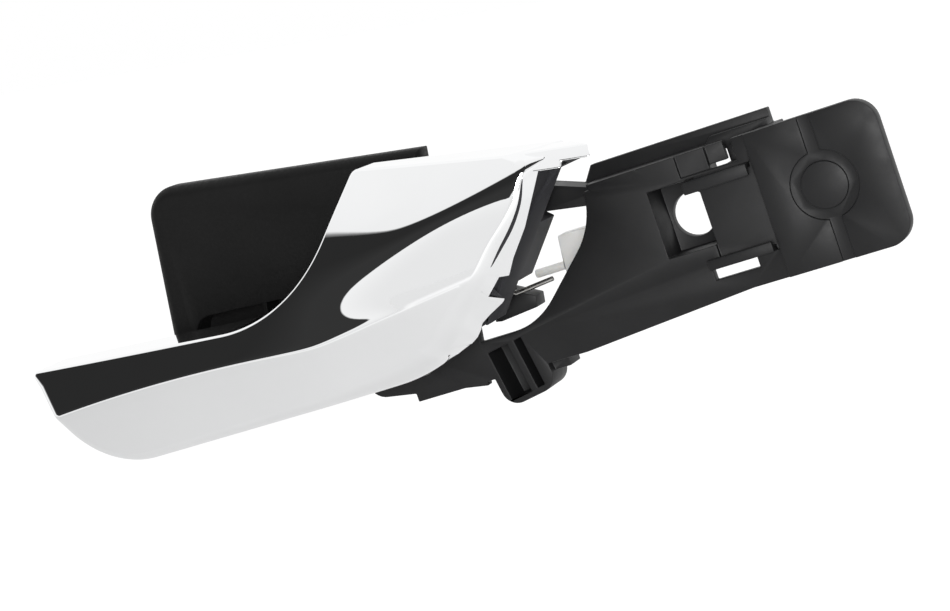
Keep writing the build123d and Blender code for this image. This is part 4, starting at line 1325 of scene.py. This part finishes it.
def light_room(scene, stage):
    """White room with a dark strip low behind the viewer, which polished metal mirrors."""
    world = bpy.data.worlds.new("room")
    scene.world = world
    world.use_nodes = True
    tree = world.node_tree
    ground = tree.nodes["Background"]
    coords = new_node(tree, "TexCoord", {}).outputs["Generated"]
    way = new_node(tree, "SeparateXYZ", {"Vector": coords})
    rise = ranged(tree, way.outputs["Z"], 0.0, 1.0, -1.0, 1.0)
    strip = new_node(tree, "ValToRGB", {"Fac": rise})
    stops = strip.color_ramp.elements
    for stop, (position, level) in zip(stops, (ROOM_STOPS[0], ROOM_STOPS[-1])):
        stop.position = position
        stop.color = (level, level, level, 1.0)
    for position, level in ROOM_STOPS[1:-1]:
        stops.new(position).color = (level, level, level, 1.0)
    behind = ranged(tree, way.outputs["Y"], 0.0, 1.0, *STRIP_FADE)
    mirrored = whitened(tree, strip.outputs["Color"], behind)
    seen = whitened(tree, mirrored, ray_sum(tree, ("Is Camera Ray", 1.0)))
    kinds = ("Is Camera Ray", "Is Glossy Ray", "Is Transmission Ray")
    direct = ray_sum(tree, *[(kind, 1.0) for kind in kinds])
    strength = ranged(tree, direct, stage.sky, 1.0, 0.0, 1.0)
    feed(tree, ground, {"Color": seen, "Strength": strength})


def hang_key_lamp(stage):
    """Soft square lamp in front on the right, aimed at the handle."""
    data = bpy.data.lights.new("key_lamp", "AREA")
    data.energy = stage.key
    data.size = KEY_SIZE
    lamp = linked("key_lamp", data)
    lamp.location = KEY_PLACE
    lamp.rotation_euler = (-Vector(KEY_PLACE)).to_track_quat("-Z", "Y").to_euler()


class HANDLE_PT_panel(bpy.types.Panel):
    """Lists the steps of the handle"""

    bl_idname = "HANDLE_PT_panel"
    bl_label = "Door handle"
    bl_space_type = "VIEW_3D"
    bl_region_type = "UI"
    bl_category = "Handle"

    def draw(self, context):
        settings = context.scene.handle
        for operator in OPERATORS:
            self.layout.operator(operator.bl_idname)
        for group in (settings.lever, settings.moulding, settings.colours, settings.stage):
            box = self.layout.box()
            for key in group.bl_rna.properties.keys():
                if key not in ("rna_type", "name"):
                    box.prop(group, key)


OPERATORS = (HANDLE_OT_stage, HANDLE_OT_lever_cover, HANDLE_OT_mouldings, HANDLE_OT_hardware)
GROUPS = (LeverSizes, MouldingSizes, FinishColours, StageSizes, HandleSettings)
CLASSES = (*GROUPS, *OPERATORS, HANDLE_PT_panel)


def register():
    """Makes the classes and the settings known."""
    for cls in CLASSES:
        bpy.utils.register_class(cls)
    bpy.types.Scene.handle = bpy.props.PointerProperty(type=HandleSettings)


def unregister():
    """Takes the settings and the classes away again."""
    del bpy.types.Scene.handle
    for cls in reversed(CLASSES):
        bpy.utils.unregister_class(cls)


def main():
    """Builds the handle on its stage."""
    register()
    bpy.ops.handle.stage()
    bpy.ops.handle.lever_cover()
    bpy.ops.handle.mouldings()
    bpy.ops.handle.hardware()


if __name__ == "__main__":
    main()
